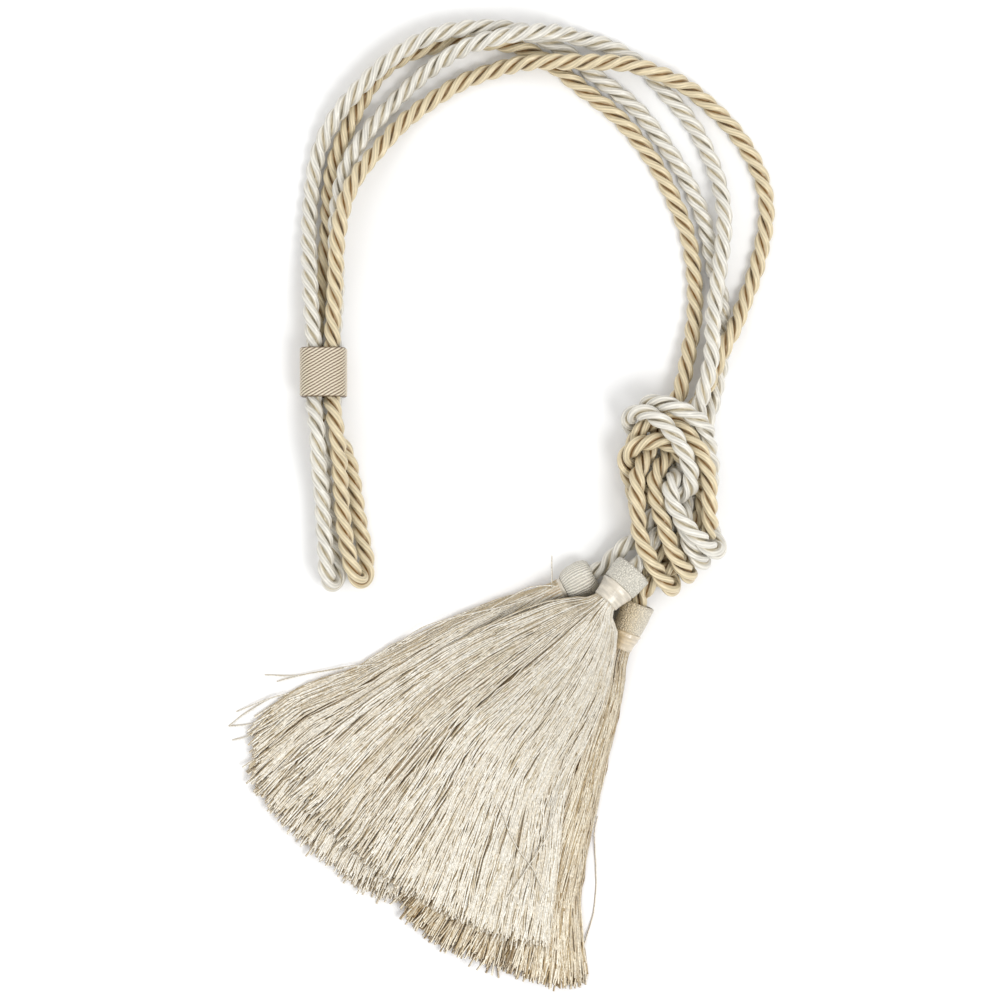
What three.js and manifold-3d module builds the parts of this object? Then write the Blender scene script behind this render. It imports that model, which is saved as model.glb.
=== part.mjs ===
// Curtain tieback: two twisted ropes, one ivory and one beige, doubled into a hanging loop,
// bound by a wound collar, led round in a wide bow and tied in one overhand knot, with a
// tassel on each of the four rope ends. It lies flat on a table.
// Millimetres, +Z up, +Y towards the top of the bow. The table is z = 0.
import * as THREE from 'three';
import { mergeVertices } from 'three/addons/utils/BufferGeometryUtils.js';
import Module from 'manifold-3d';

const wasm = await Module();
wasm.setup();

// Rope: three strands laid left-handed, raised as ridges
const ROPE = { radius: 3.4, valleyRadius: 2.5, lay: 22, strands: 3, ringsPerLay: 6 };

// Collar: cord wound round the four runs, which pass through it two by two
const COLLAR = {
  centre: { x: -70, y: 50.6, z: 8.8 }, length: 19.6, turns: 11, ridge: 0.35,
  half: 8.8, corner: 4.8, boreHalf: 7.6, boreCorner: 3.4,
};
const RUN_OFFSET = 3.65;
const RUN_STRAIGHT = 3;

// Tassel heads: a woven band round the rope end, then a satin ribbon down to the neck.
// Distances run along the head from its top.
const BAND = {
  length: 10, topRadius: 7.9, endRadius: 7.1, wall: 1.1, topWall: 1.2, bevel: 0.7, hole: 3.8,
};
const RIBBON = { start: 10.35, end: 16.85, startRadius: 6.9, endRadius: 5.7, wall: 0.75 };
const CORE_CLEARANCE = 0.45;
const ROPE_END = 1.5;
const ROPE_CLEARANCE = 0.5;
const HEAD_SIDES = 12;

// Skirt locks stand in two rows, three-sided, with a flat side down
const LOCK = {
  root: 21, height: 3, rowGap: 0.3, gapAtRoot: 0.3, gapAtEnd: 0.7, fanShare: 0.97,
  tip: 5, tipWidth: 0.6, tipHeight: 0.65, sway: 0.9, swayLength: 19, ragged: 2.2, rowStep: 3.5,
};

const COLOURS = {
  ivory: 0xe4dccb, beige: 0xd2bd92, collar: 0xd8c8a6, band: 0xe6e0d0, ribbon: 0xd9cfba,
};

// A head: colour, the point on its top where the rope goes in, its direction in plan (degrees
// from +X), its climb for each millimetre in plan, and its girth as a share of BAND's.
// A fan: directions of its two edges, how far the threads reach past the neck at the first
// edge, the middle and the second edge, how far behind the neck its apex lies, the locks in
// its lower row, and what it lies on.
const TASSELS = {
  left: {
    colour: 'ivory', top: [37, -28.8, 7.4], turn: 208, climb: -0.05, girth: 0.9,
    fan: { edges: [201, 238.4], reach: [137, 146, 143], apex: 10, locks: 21, liesOn: 'table' },
  },
  front: {
    colour: 'ivory', top: [53, -27.2, 16], turn: 227.7, climb: 0.12, girth: 1,
    fan: { edges: [232, 260], reach: [137, 138.5, 137], apex: 12, locks: 20, liesOn: 'skirts' },
  },
  hidden: {
    colour: 'beige', top: [40.2, -43.9, 6.8], turn: 233, climb: -0.05, girth: 0.82,
    fan: { edges: [238.3, 256.1], reach: [128, 131.5, 132], apex: 15, locks: 11, liesOn: 'table' },
  },
  right: {
    colour: 'beige', top: [55.2, -41, 6.9], turn: 247.7, climb: -0.05, girth: 0.83,
    fan: { edges: [250.8, 262.9], reach: [138, 139.5, 136], apex: 15, locks: 8, liesOn: 'table' },
  },
};

// Where a fan lies: centre and half height of its thread bundle at distances past the neck,
// then the underside of its locks further out.
const SEATS = {
  table: {
    bundle: [
      { at: 6, middle: 5.2, half: 3.9 }, { at: 12, middle: 4.6, half: 3.8 },
      { at: 18, middle: 4.2, half: 3.7 }, { at: 25, middle: 3.8, half: 3.5 },
    ],
    locks: [{ at: LOCK.root, under: 0.7 }, { at: 42, under: 0 }],
  },
  skirts: {
    bundle: [
      { at: 6, middle: 18.2, half: 4 }, { at: 12, middle: 18.1, half: 3.8 },
      { at: 18, middle: 17.9, half: 3.6 }, { at: 25, middle: 17.1, half: 3.5 },
    ],
    locks: [{ at: LOCK.root, under: 14 }, { at: 44, under: 9.9 }, { at: 62, under: 7.3 }],
  },
};

// The four runs of rope: which corner of the collar's bore each takes, and its tassel
const RUNS = {
  ivoryFront: { side: [-1, 1], tassel: 'left' },
  ivoryBack: { side: [1, -1], tassel: 'front' },
  beigeBack: { side: [-1, -1], tassel: 'hidden' },
  beigeFront: { side: [1, 1], tassel: 'right' },
};

// Route of each run, from the tip of the hanging loop through the collar, round the bow, into
// the knot and out to a tassel: x, y, and the lift of the rope's underside. The stretches in
// the collar and at the tassel's head are filled in by runPoints.
const IN_COLLAR = 'in the collar';
const ROUTES = {
  ivoryFront: [
    // fold
    [-66.5, -33.5, 4.5], [-68, -32.5, 7.5], [-68.5, -29, 9],
    // hanging leg
    [-69, -20, 8.5], [-70, -8, 8], [-70.5, 4, 8.5], [-71.5, 16, 11], [-72, 28, 14],
    IN_COLLAR,
    // left side
    [-74.5, 72, 9], [-75, 80, 8], [-75.5, 90, 6], [-76, 100, 3.5], [-76, 112, 1.5],
    [-74.5, 125.5, 0.5], [-71.5, 136, 0.5], [-68.5, 143, 1.5], [-65.5, 149, 2.5],
    [-61, 155.5, 3.5], [-53.5, 165, 5.5],
    // top
    [-45.5, 173, 6.5], [-35.5, 180, 7], [-24, 185, 7], [-12, 187, 7], [0, 187, 7.5], [9, 186, 6.5],
    [18, 183, 2.5], [26, 179, 0], [37, 169, 0],
    // right side
    [50.5, 159.5, 0], [57, 153, 0], [65, 142.5, 0], [72, 132, 0], [77.5, 121, 0], [82, 109, 0],
    [85.5, 90, 0], [88, 83, 0], [89, 76, 0], [89, 60, 0], [87, 50, 0], [85, 40, 0.5],
    // front column
    [81.5, 30, 3], [79, 20, 6.5], [76.5, 9, 9.5], [74, -1, 14], [73, -9, 17], [74.5, -16.5, 16],
    [76.5, -21.5, 11],
    // back
    [76.5, -23, 6], [75, -19, 1.5], [71, -9, 0], [66.5, 3, 0], [62, 14.5, 0], [58, 20.5, 0],
    [54.5, 25, 3],
    // curl over
    [52.5, 28.5, 9], [53, 32.5, 15.5], [54.5, 35, 19.5], [57, 35.5, 21.5], [60.5, 33.5, 23],
    [64, 30.5, 23.5], [67, 26.5, 23.5], [70.5, 21.5, 23.5], [73, 16, 23], [75, 11, 22],
    // tail
    [75.5, 6, 19.5], [75, 1, 16], [73.5, -3, 12.5], [71, -7.5, 9.5], [66, -12, 8.5],
    [60, -15, 8.5], [54.5, -15.5, 8], [50.5, -17, 7], [46.5, -20, 5],
  ],
  ivoryBack: [
    // fold
    [-65, -32.5, 1.5], [-64.5, -29, 0],
    // hanging leg
    [-65, -22, 0], [-67.5, -10, 0], [-69.5, 2, 1], [-70, 12, 4.5], [-68.5, 22, 7], [-67, 32, 4.5],
    IN_COLLAR,
    // left side
    [-66, 73, 1.5], [-65.5, 84, 2.5], [-65, 95, 5], [-65, 104, 6.5], [-64.5, 116, 7],
    [-63, 123, 7], [-61.5, 130, 6.5], [-58.5, 137, 5.5], [-54.5, 144, 3.5], [-49.5, 150.5, 1.5],
    [-40, 161, 0],
    // top
    [-34, 166.5, 0.5], [-28, 171, 2.5], [-22, 175, 6], [-13, 179, 10.5], [-4, 181.5, 14],
    [4, 183, 14.5], [16, 185, 11.5], [24, 184.5, 5.5], [34, 183, 1], [42, 181.5, 0],
    // right side
    [55, 174, 0], [65.5, 163, 0], [75, 152, 0], [79.5, 145, 0], [84, 135, 1], [87, 126.5, 2.5],
    [88.5, 117, 5], [89, 108, 7], [88, 100, 7.5], [86, 84, 7.5], [84.5, 76, 8.5], [84, 68, 11],
    [83.5, 60, 13], [83, 53, 13.5], [81, 46, 13], [79, 39, 12.5],
    // front column
    [77, 30, 10.5], [74, 21, 9], [71.5, 14, 10.5], [69, 7, 15], [68.5, 0, 18.5],
    [69.5, -6.5, 21.5], [72.5, -12, 22], [76, -15.5, 19.5], [80, -17.5, 14.5], [83, -15, 7.5],
    // back
    [82.5, -10, 2.5], [80, -5, 0], [75, 4, 0], [69.5, 14.5, 0], [66, 22.5, 0], [63, 29, 0],
    [60, 34, 1.5],
    // curl over
    [58, 36.5, 7.5], [59, 37.5, 14.5], [63, 37, 20.5], [68, 37, 22.5], [72, 35, 22.5],
    [75.5, 32, 21.5], [79, 27, 18.5], [81.5, 21, 13.5],
    // tail
    [82.5, 13, 10.5], [81, 4, 8.5], [77.5, -5, 7.5], [73, -12, 8], [67.5, -16.5, 8.5],
    [63, -18.5, 9.5], [59.5, -20.5, 10.5],
  ],
  beigeBack: [
    // fold
    [-53.5, -31, 1.5], [-53, -27, 0],
    // hanging leg
    [-54.5, -18, 0], [-57, -4, 0], [-59, 10, 0], [-62.5, 21, 0], [-67.5, 30, 0],
    IN_COLLAR,
    // left side
    [-72.5, 73, 1], [-71, 84, 0], [-69.5, 98, 0], [-68.5, 112, 0], [-68, 129, 0], [-67, 137, 0],
    [-65, 143, 0], [-59, 155, 0], [-51.5, 165.5, 0],
    // top
    [-47, 171, 0], [-41, 175.5, 0], [-32, 179.5, 0], [-24, 181.5, 0], [-16, 183, 0], [0, 182, 0],
    [10, 180, 0], [18, 176, 0], [25, 171, 0], [32, 165, 0],
    // right side
    [42.5, 157, 0], [53, 146, 0], [62.5, 133, 0], [69.5, 119, 0], [75, 105, 0], [77.5, 88, 0],
    [77.5, 73, 1], [76.5, 66, 2], [75, 60, 3], [74, 53, 4], [72.5, 47, 5], [70.5, 40.5, 5.5],
    // front column
    [67.5, 34, 7], [63.5, 27.5, 8.5], [60.5, 22, 10], [58, 17, 12.5], [57, 10, 16.5],
    [55.5, 4, 18.5], [55, -2, 19], [54, -8.5, 19], [55, -15, 18.5], [57, -21.5, 17],
    [60.5, -27, 13], [65, -31, 7.5],
    // back
    [67, -31, 2.5], [65.5, -27, 0], [62, -18.5, 0], [57.5, -8, 0], [54, 1, 3],
    // curl over
    [52.5, 8.5, 8.5], [52, 13.5, 12], [52.5, 18, 14.5], [55, 21, 15.5], [58, 23, 16.5],
    [62, 23.5, 16.5], [66, 22.5, 16.5], [70, 19, 16.5], [73.5, 14.5, 16],
    // tail
    [76.5, 8, 15], [77.5, 1, 12.5], [76, -5.5, 9.5], [71.5, -15, 8], [65.5, -23, 7.5],
    [59, -28.5, 3.5], [53, -32.5, 0.5], [48, -36.5, 0],
  ],
  beigeFront: [
    // fold
    [-55.5, -32, 4.5], [-57, -31, 7.5], [-58, -27, 9],
    // hanging leg
    [-60.5, -19, 8.5], [-62, -8, 8], [-63, 4, 8], [-63.5, 16, 10.5], [-64.5, 28, 14],
    IN_COLLAR,
    // left side
    [-66, 73, 9], [-65, 86, 10], [-64.5, 98, 13], [-63.5, 106, 14], [-62, 114, 14], [-60, 121, 13],
    [-57.5, 126.5, 11.5], [-53.5, 132.5, 9], [-49, 138, 6.5], [-45, 143, 4.5], [-41, 148, 2.5],
    [-35.5, 153, 1],
    // top
    [-29, 158, 0], [-15.5, 166.5, 0], [-9, 169, 0], [-0.5, 171.5, 1], [9, 173.5, 4.5],
    [20, 173.5, 7.5], [32, 173.5, 7.5], [48, 173, 7.5], [56, 171.5, 7.5], [62, 169, 7.5],
    [68, 167, 5.5],
    // right side
    [74, 165, 2], [79, 161, 0], [90.5, 150.5, 0], [99, 139, 0], [105, 125.5, 0], [106, 110, 0],
    [101, 88, 0], [98, 81, 0.5], [95, 74, 2.5], [91.5, 67, 5.5], [88.5, 60, 7], [85.5, 53, 7],
    [82.5, 46, 6], [79, 39, 5],
    // front column
    [74.5, 31, 6], [69.5, 25, 7.5], [65.5, 20.5, 9.5], [63, 14, 14], [63, 6, 18.5], [63, -2.5, 20],
    [65, -10.5, 20.5], [67, -17.5, 18.5], [70, -24, 13], [73, -27.5, 6.5],
    // back
    [72, -24, 1.5], [69, -16.5, 0], [64, -5.5, 0], [59, 4.5, 0], [55.5, 13, 0.5],
    // curl over
    [54.5, 19, 6], [57, 24.5, 10], [60.5, 30, 12], [64, 33, 13.5], [67.5, 33, 15],
    [70.5, 31, 16.5], [73, 27, 18], [76.5, 21.5, 19], [79, 15, 20], [81, 7, 20], [81, 1.5, 19],
    // tail
    [79.5, -3, 15.5], [77, -7.5, 11.5], [74, -14.5, 9], [71, -21, 8], [67, -27, 7.5],
    [63, -31, 6.5],
  ],
};

// How the lying rope settles: path points stand `spacing` apart and runs keep `apart` between
// their centres. Shares say how far one round moves a point for each cause.
const SETTLE = {
  spacing: 2.6, apart: 7.2, reach: 4, skip: 6, heldEnds: 3,
  rounds: 360, relist: 10, easing: 0.75,
  press: 0.9, straighten: 0.8, stretch: 0.25, homeFirst: 0.02, homeLast: 0.001, calmest: 0.3,
};

const add = (a, b, k = 1) => [a[0] + b[0] * k, a[1] + b[1] * k, a[2] + b[2] * k];
const scale = (a, k) => [a[0] * k, a[1] * k, a[2] * k];
const dot = (a, b) => a[0] * b[0] + a[1] * b[1] + a[2] * b[2];
const cross = (a, b) => [
  a[1] * b[2] - a[2] * b[1], a[2] * b[0] - a[0] * b[2], a[0] * b[1] - a[1] * b[0]];
const unit = (a) => scale(a, 1 / Math.hypot(...a));
const radians = (degrees) => degrees * Math.PI / 180;
const mix = (a, b, t) => a + (b - a) * t;

// A closed body through rings of points, each counter-clockwise about the way of travel.
// Looped rings close on themselves, and open ones get a fan over each end.
function loft(rings, looped = false) {
  const count = rings[0].length;
  const positions = rings.flat(2);
  const index = [];
  const bands = looped ? rings.length : rings.length - 1;
  for (let i = 0; i < bands; i++) {
    const near = i * count;
    const far = ((i + 1) % rings.length) * count;
    for (let j = 0; j < count; j++) {
      const k = (j + 1) % count;
      index.push(near + j, near + k, far + k);
      index.push(near + j, far + k, far + j);
    }
  }
  if (!looped) {
    for (const [ring, flip] of [[0, true], [rings.length - 1, false]]) {
      const centre = positions.length / 3;
      const sum = rings[ring].reduce((total, point) => add(total, point), [0, 0, 0]);
      positions.push(...scale(sum, 1 / count));
      for (let j = 0; j < count; j++) {
        const here = ring * count + j;
        const next = ring * count + (j + 1) % count;
        index.push(centre, ...(flip ? [next, here] : [here, next]));
      }
    }
  }
  const geometry = new THREE.BufferGeometry();
  geometry.setAttribute('position', new THREE.Float32BufferAttribute(positions, 3));
  geometry.setIndex(index);
  return geometry;
}

function toSolid(geometry) {
  const merged = mergeVertices(geometry);
  return new wasm.Manifold(new wasm.Mesh({
    numProp: 3,
    vertProperties: new Float32Array(merged.attributes.position.array),
    triVerts: new Uint32Array(merged.index.array),
  }));
}

function toGeometry(solid) {
  const { vertProperties, triVerts } = solid.getMesh();
  const geometry = new THREE.BufferGeometry();
  geometry.setAttribute('position', new THREE.Float32BufferAttribute(vertProperties, 3));
  geometry.setIndex(Array.from(triVerts));
  return geometry;
}

// Points at equal steps along a line of points
function evenSteps(points, spacing) {
  const far = [0];
  for (let i = 1; i < points.length; i++) {
    far.push(far[i - 1] + Math.hypot(...add(points[i], points[i - 1], -1)));
  }
  const total = far[far.length - 1];
  const steps = Math.round(total / spacing);
  const result = [];
  let i = 0;
  for (let n = 0; n <= steps; n++) {
    const at = total * n / steps;
    while (i < points.length - 2 && far[i + 1] < at) {
      i += 1;
    }
    const t = (at - far[i]) / (far[i + 1] - far[i]);
    result.push(points[i].map((value, axis) => mix(value, points[i + 1][axis], t)));
  }
  return result;
}

// Catmull-Rom curve through the chosen points, cut into equal steps
function smoothCurve(points, spacing) {
  const SUBSTEPS = 16;
  const first = add(scale(points[0], 2), points[1], -1);
  const last = add(scale(points[points.length - 1], 2), points[points.length - 2], -1);
  const all = [first, ...points, last];
  const dense = [];
  for (let i = 1; i < all.length - 2; i++) {
    for (let n = 0; n < SUBSTEPS; n++) {
      const t = n / SUBSTEPS;
      dense.push([0, 1, 2].map((axis) => {
        const [a, b, c, d] = [all[i - 1][axis], all[i][axis], all[i + 1][axis], all[i + 2][axis]];
        return 0.5 * (2 * b + (c - a) * t + (2 * a - 5 * b + 4 * c - d) * t * t
          + (3 * b - a - 3 * c + d) * t * t * t);
      }));
    }
  }
  dense.push(points[points.length - 1]);
  return evenSteps(dense, spacing);
}

function headFrame({ top, turn, climb }) {
  const along = unit([Math.cos(radians(turn)), Math.sin(radians(turn)), climb]);
  const side = unit(cross([0, 0, 1], along));
  return { top, along, side, up: cross(along, side) };
}

// Chosen points of one run, with those in the collar and at the tassel's head filled in
function runPoints(name) {
  const { side, tassel } = RUNS[name];
  const { x, y, z } = COLLAR.centre;
  const mouth = COLLAR.length / 2 + RUN_STRAIGHT;
  const inCollar = [-mouth, -4, 4, mouth].map((offset) => (
    [x + side[0] * RUN_OFFSET, y + offset, z + side[1] * RUN_OFFSET]));
  const { top, along } = headFrame(TASSELS[tassel]);
  const intoHead = [-5, -1.5, ROPE_END].map((offset) => add(top, along, offset));
  const points = ROUTES[name].flatMap((entry) => (
    entry === IN_COLLAR ? inCollar : [[entry[0], entry[1], entry[2] + ROPE.radius]]));
  return [...points, ...intoHead];
}

// Pairs of path points near enough to press on each other
function nearPairs(here, ropeOf) {
  const limit = (SETTLE.apart + SETTLE.reach) ** 2;
  const pairs = [];
  for (let i = 0; i < here.length; i++) {
    for (let j = i + 1; j < here.length; j++) {
      const gap = add(here[i], here[j], -1);
      if (dot(gap, gap) < limit && (ropeOf[i] !== ropeOf[j] || j - i >= SETTLE.skip)) {
        pairs.push([i, j]);
      }
    }
  }
  return pairs;
}

// Mean push on each point from those it presses on
function pressing(here, pairs) {
  const push = here.map(() => [0, 0, 0]);
  const touching = here.map(() => 0);
  for (const [i, j] of pairs) {
    const gap = add(here[i], here[j], -1);
    const distance = Math.hypot(...gap);
    if (distance < SETTLE.apart) {
      const share = 0.5 * (SETTLE.apart - distance) / distance;
      push[i] = add(push[i], gap, share);
      push[j] = add(push[j], gap, -share);
      touching[i] += 1;
      touching[j] += 1;
    }
  }
  return push.map((total, i) => scale(total, 1 / Math.max(1, touching[i])));
}

// Rope straightens its own bends and keeps its points evenly spaced
function stiffness(here, spans) {
  const move = here.map(() => [0, 0, 0]);
  for (const [a, b] of spans) {
    for (let i = a + 2; i < b - 2; i++) {
      const bend = [0, 1, 2].map((axis) => here[i + 2][axis] - 4 * here[i + 1][axis]
        + 6 * here[i][axis] - 4 * here[i - 1][axis] + here[i - 2][axis]);
      move[i] = add(move[i], bend, -SETTLE.straighten / 16);
    }
    for (let i = a; i < b - 1; i++) {
      const link = add(here[i + 1], here[i], -1);
      const length = Math.hypot(...link);
      const slack = SETTLE.stretch * 0.5 * (length - SETTLE.spacing) / length;
      move[i] = add(move[i], link, slack);
      move[i + 1] = add(move[i + 1], link, -slack);
    }
  }
  return move;
}

// Ropes push each other apart where they press, and are held by the collar, by the heads of
// the tassels and by the table.
function settle(ropes) {
  const here = ropes.flat().map((point) => [...point]);
  const home = here.map((point) => [...point]);
  const spans = [];
  let start = 0;
  for (const rope of ropes) {
    spans.push([start, start + rope.length]);
    start += rope.length;
  }
  const { x, y } = COLLAR.centre;
  const mouth = COLLAR.length / 2 + RUN_STRAIGHT;
  const ends = SETTLE.heldEnds;
  const held = home.map((point, i) => (
    spans.some(([a, b]) => (i >= a && i < a + ends) || (i >= b - ends && i < b))
    || (Math.abs(point[1] - y) < mouth && Math.abs(point[0] - x) < COLLAR.half + 3)));
  const ropeOf = home.map((_, i) => spans.findIndex(([a, b]) => i >= a && i < b));
  let pairs = [];
  for (let round = 0; round < SETTLE.rounds; round++) {
    if (round % SETTLE.relist === 0) {
      pairs = nearPairs(here, ropeOf);
    }
    const push = pressing(here, pairs);
    const smooth = stiffness(here, spans);
    const ease = Math.max(0, 1 - round / (SETTLE.easing * SETTLE.rounds));
    const homeward = SETTLE.homeFirst * ease + SETTLE.homeLast;
    for (let i = 0; i < here.length; i++) {
      if (!held[i]) {
        const pull = add(home[i], here[i], -1);
        here[i] = add(here[i], push[i], SETTLE.press);
        here[i] = add(here[i], smooth[i], mix(SETTLE.calmest, 1, ease));
        here[i] = add(here[i], pull, homeward);
      }
      here[i][2] = Math.max(here[i][2], ROPE.radius);
    }
  }
  return spans.map(([a, b]) => here.slice(a, b));
}

// Ridges and valleys by turns, turning left-handed round the path
function ropeGeometry(path) {
  const points = evenSteps(path, ROPE.lay / ROPE.ringsPerLay);
  const corners = ROPE.strands * 2;
  let across = null;
  const rings = points.map((point, i) => {
    const before = points[Math.max(0, i - 1)];
    const after = points[Math.min(points.length - 1, i + 1)];
    const along = unit(add(after, before, -1));
    across = across ?? [along[1], -along[0], 0];
    across = unit(add(across, along, -dot(across, along)));
    const other = cross(along, across);
    return Array.from({ length: corners }, (_, j) => {
      const angle = 2 * Math.PI * (j / corners - i / ROPE.ringsPerLay);
      const radius = j % 2 === 0 ? ROPE.radius : ROPE.valleyRadius;
      return add(add(point, across, radius * Math.cos(angle)), other, radius * Math.sin(angle));
    });
  });
  return loft(rings);
}

// A square with round corners across the bundle, cut off where the table is
function collarSection(y, half, corner) {
  const CORNER_STEPS = 2;
  const { x, z } = COLLAR.centre;
  const ring = [];
  for (let quarter = 0; quarter < 4; quarter++) {
    const middle = radians(45 + 90 * quarter);
    const cornerX = x + Math.sign(Math.cos(middle)) * (half - corner);
    const cornerZ = z + Math.sign(Math.sin(middle)) * (half - corner);
    for (let n = 0; n <= CORNER_STEPS; n++) {
      const angle = radians(90 * (quarter + n / CORNER_STEPS));
      const height = cornerZ + corner * Math.sin(angle);
      ring.push([cornerX + corner * Math.cos(angle), y, Math.max(0, height)]);
    }
  }
  return ring.reverse();
}

// Rounded turns outside, a plain bore inside, and a flat underside where it lies
function collarGeometry() {
  const { length, turns, ridge, half, corner, boreHalf, boreCorner } = COLLAR;
  const stations = turns * 2;
  const start = COLLAR.centre.y - length / 2;
  const outside = Array.from({ length: stations + 1 }, (_, i) => {
    const rise = i % 2 === 1 ? ridge : 0;
    return collarSection(start + length * i / stations, half + rise, corner + rise);
  });
  const bore = [start + length, start].map((y) => collarSection(y, boreHalf, boreCorner));
  return loft([...outside, ...bore], true);
}

// A point beside a head's axis
function besideAxis(frame, at, radius, angle) {
  const out = add(scale(frame.side, Math.cos(angle)), frame.up, Math.sin(angle));
  return add(add(frame.top, frame.along, at), out, radius);
}

// A ring turned round a head's axis: profile points are [distance from the top, radius]
function turnedRing(frame, profile) {
  const rings = Array.from({ length: HEAD_SIDES }, (_, i) => {
    const angle = -2 * Math.PI * i / HEAD_SIDES;
    return profile.map(([at, radius]) => besideAxis(frame, at, radius, angle));
  });
  return loft(rings, true);
}

function bandGeometry(tassel) {
  const { length, topRadius, endRadius, wall, topWall, bevel, hole } = BAND;
  const top = topRadius * tassel.girth;
  const end = endRadius * tassel.girth;
  return turnedRing(headFrame(tassel), [
    [0, hole], [0, top - bevel], [bevel, top], [length, end],
    [length, end - wall], [topWall, end - wall], [topWall, hole],
  ]);
}

function ribbonGeometry(tassel) {
  const { start, end, startRadius, endRadius, wall } = RIBBON;
  const first = startRadius * tassel.girth;
  const last = endRadius * tassel.girth;
  return turnedRing(headFrame(tassel), [
    [start, first - wall], [start, first], [end, last], [end, last - wall],
  ]);
}

// Height of a lock's underside, from a seat's rows
function undersideAt(rows, at) {
  const after = rows.findIndex((row) => row.at > at);
  if (after === -1) {
    return rows[rows.length - 1].under;
  }
  const [a, b] = [rows[Math.max(0, after - 1)], rows[Math.max(1, after)]];
  return mix(a.under, b.under, (at - a.at) / (b.at - a.at));
}

// Threads gathered in the head, then fanning out below the neck
function bundleRings(tassel, seat, place, middle, spread) {
  const { girth } = tassel;
  const frame = headFrame(tassel);
  const inBand = BAND.endRadius * girth - BAND.wall - CORE_CLEARANCE;
  const ribbonInside = (radius) => radius * girth - RIBBON.wall - CORE_CLEARANCE;
  const core = [
    [ROPE_END + ROPE_CLEARANCE, inBand],
    [BAND.length, Math.min(inBand, ribbonInside(RIBBON.startRadius))],
    [RIBBON.end, ribbonInside(RIBBON.endRadius)],
  ];
  const turns = Array.from({ length: HEAD_SIDES }, (_, j) => 2 * Math.PI * j / HEAD_SIDES);
  const inHead = core.map(([at, radius]) => turns.map((turn) => besideAxis(frame, at, radius, turn)));
  const squarer = (value, power) => Math.sign(value) * Math.abs(value) ** power;
  const last = seat.bundle[seat.bundle.length - 1].at;
  const SQUAREST = 0.45;
  const fanned = seat.bundle.map((row) => turns.map((turn) => {
    const power = mix(1, SQUAREST, row.at / last);
    const angle = middle + spread * squarer(Math.cos(turn), power);
    return place(angle, row.at, row.middle + row.half * squarer(Math.sin(turn), power));
  }));
  return [...inHead, ...fanned];
}

// One lock: flat side down, widening with the fan and blunt at its end
function lockGeometry({ place, seat, apex, angle, pitch, row, end }) {
  const stations = [...seat.locks.map(({ at }) => at), end - LOCK.tip, end];
  const rings = stations.map((at, i) => {
    const tip = i === stations.length - 1;
    const radius = apex + at;
    const width = (radius * pitch - mix(LOCK.gapAtRoot, LOCK.gapAtEnd, at / end))
      * (tip ? LOCK.tipWidth : 1);
    const middle = angle + LOCK.sway * Math.sin((at - LOCK.root) / LOCK.swayLength) / radius;
    const half = width / 2 / radius;
    const low = undersideAt(seat.locks, at) + row * (LOCK.height + LOCK.rowGap);
    const crown = low + LOCK.height * (tip ? LOCK.tipHeight : 1);
    return [place(middle + half, at, low), place(middle, at, crown), place(middle - half, at, low)];
  });
  return loft(rings);
}

// Bundle and locks of one tassel, grown together at the locks' roots
function tasselGeometry(tassel) {
  const { edges, reach, apex, locks, liesOn } = tassel.fan;
  const seat = SEATS[liesOn];
  const { top, along } = headFrame(tassel);
  const neck = add(top, along, RIBBON.end);
  const middle = radians((edges[0] + edges[1]) / 2);
  const spread = radians(edges[1] - edges[0]) / 2;
  const origin = add(neck, [Math.cos(middle), Math.sin(middle), 0], -apex);
  const place = (angle, at, height) => [
    origin[0] + (apex + at) * Math.cos(angle), origin[1] + (apex + at) * Math.sin(angle), height];
  const pitch = 2 * spread * LOCK.fanShare / locks;
  let solid = toSolid(loft(bundleRings(tassel, seat, place, middle, spread)));
  for (let row = 0; row < 2; row++) {
    for (let n = 0; n < locks - row; n++) {
      const column = n + 0.5 + row / 2;
      const t = column / locks;
      const [first, centre, second] = reach;
      const even = t < 0.5 ? mix(first, centre, 2 * t) : mix(centre, second, 2 * t - 1);
      const ragged = LOCK.ragged * Math.sin(2.4 * n + 1.7 * row) - LOCK.rowStep * row;
      const angle = middle - spread * LOCK.fanShare + pitch * column;
      const lock = lockGeometry({ place, seat, apex, angle, pitch, row, end: even + ragged });
      solid = solid.add(toSolid(lock));
    }
  }
  return toGeometry(solid);
}

function mesh(name, geometry, colour, roughness) {
  const material = new THREE.MeshStandardMaterial({ color: colour, roughness, metalness: 0 });
  const result = new THREE.Mesh(geometry, material);
  result.name = name;
  return result;
}

// Each rope runs from one tassel through the collar to the fold, and back to another tassel
const ropeRoute = (one, other) => (
  smoothCurve([...runPoints(one).reverse(), ...runPoints(other)], SETTLE.spacing));
const [ivoryPath, beigePath] = settle([
  ropeRoute('ivoryFront', 'ivoryBack'), ropeRoute('beigeFront', 'beigeBack')]);

const tieback = new THREE.Group();
tieback.add(mesh('rope_ivory', ropeGeometry(ivoryPath), COLOURS.ivory, 0.5));
tieback.add(mesh('rope_beige', ropeGeometry(beigePath), COLOURS.beige, 0.5));
tieback.add(mesh('collar', collarGeometry(), COLOURS.collar, 0.6));
for (const [name, tassel] of Object.entries(TASSELS)) {
  tieback.add(mesh(`tassel_${name}`, tasselGeometry(tassel), COLOURS[tassel.colour], 0.6));
  tieback.add(mesh(`band_${name}`, bandGeometry(tassel), COLOURS.band, 0.7));
  tieback.add(mesh(`ribbon_${name}`, ribbonGeometry(tassel), COLOURS.ribbon, 0.35));
}

// The origin is the middle of the whole tieback's plan, on the table
const middleOfPlan = new THREE.Box3().setFromObject(tieback).getCenter(new THREE.Vector3());
for (const piece of tieback.children) {
  piece.geometry.translate(-middleOfPlan.x, -middleOfPlan.y, 0);
}

export default tieback;
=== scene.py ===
import math

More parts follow.
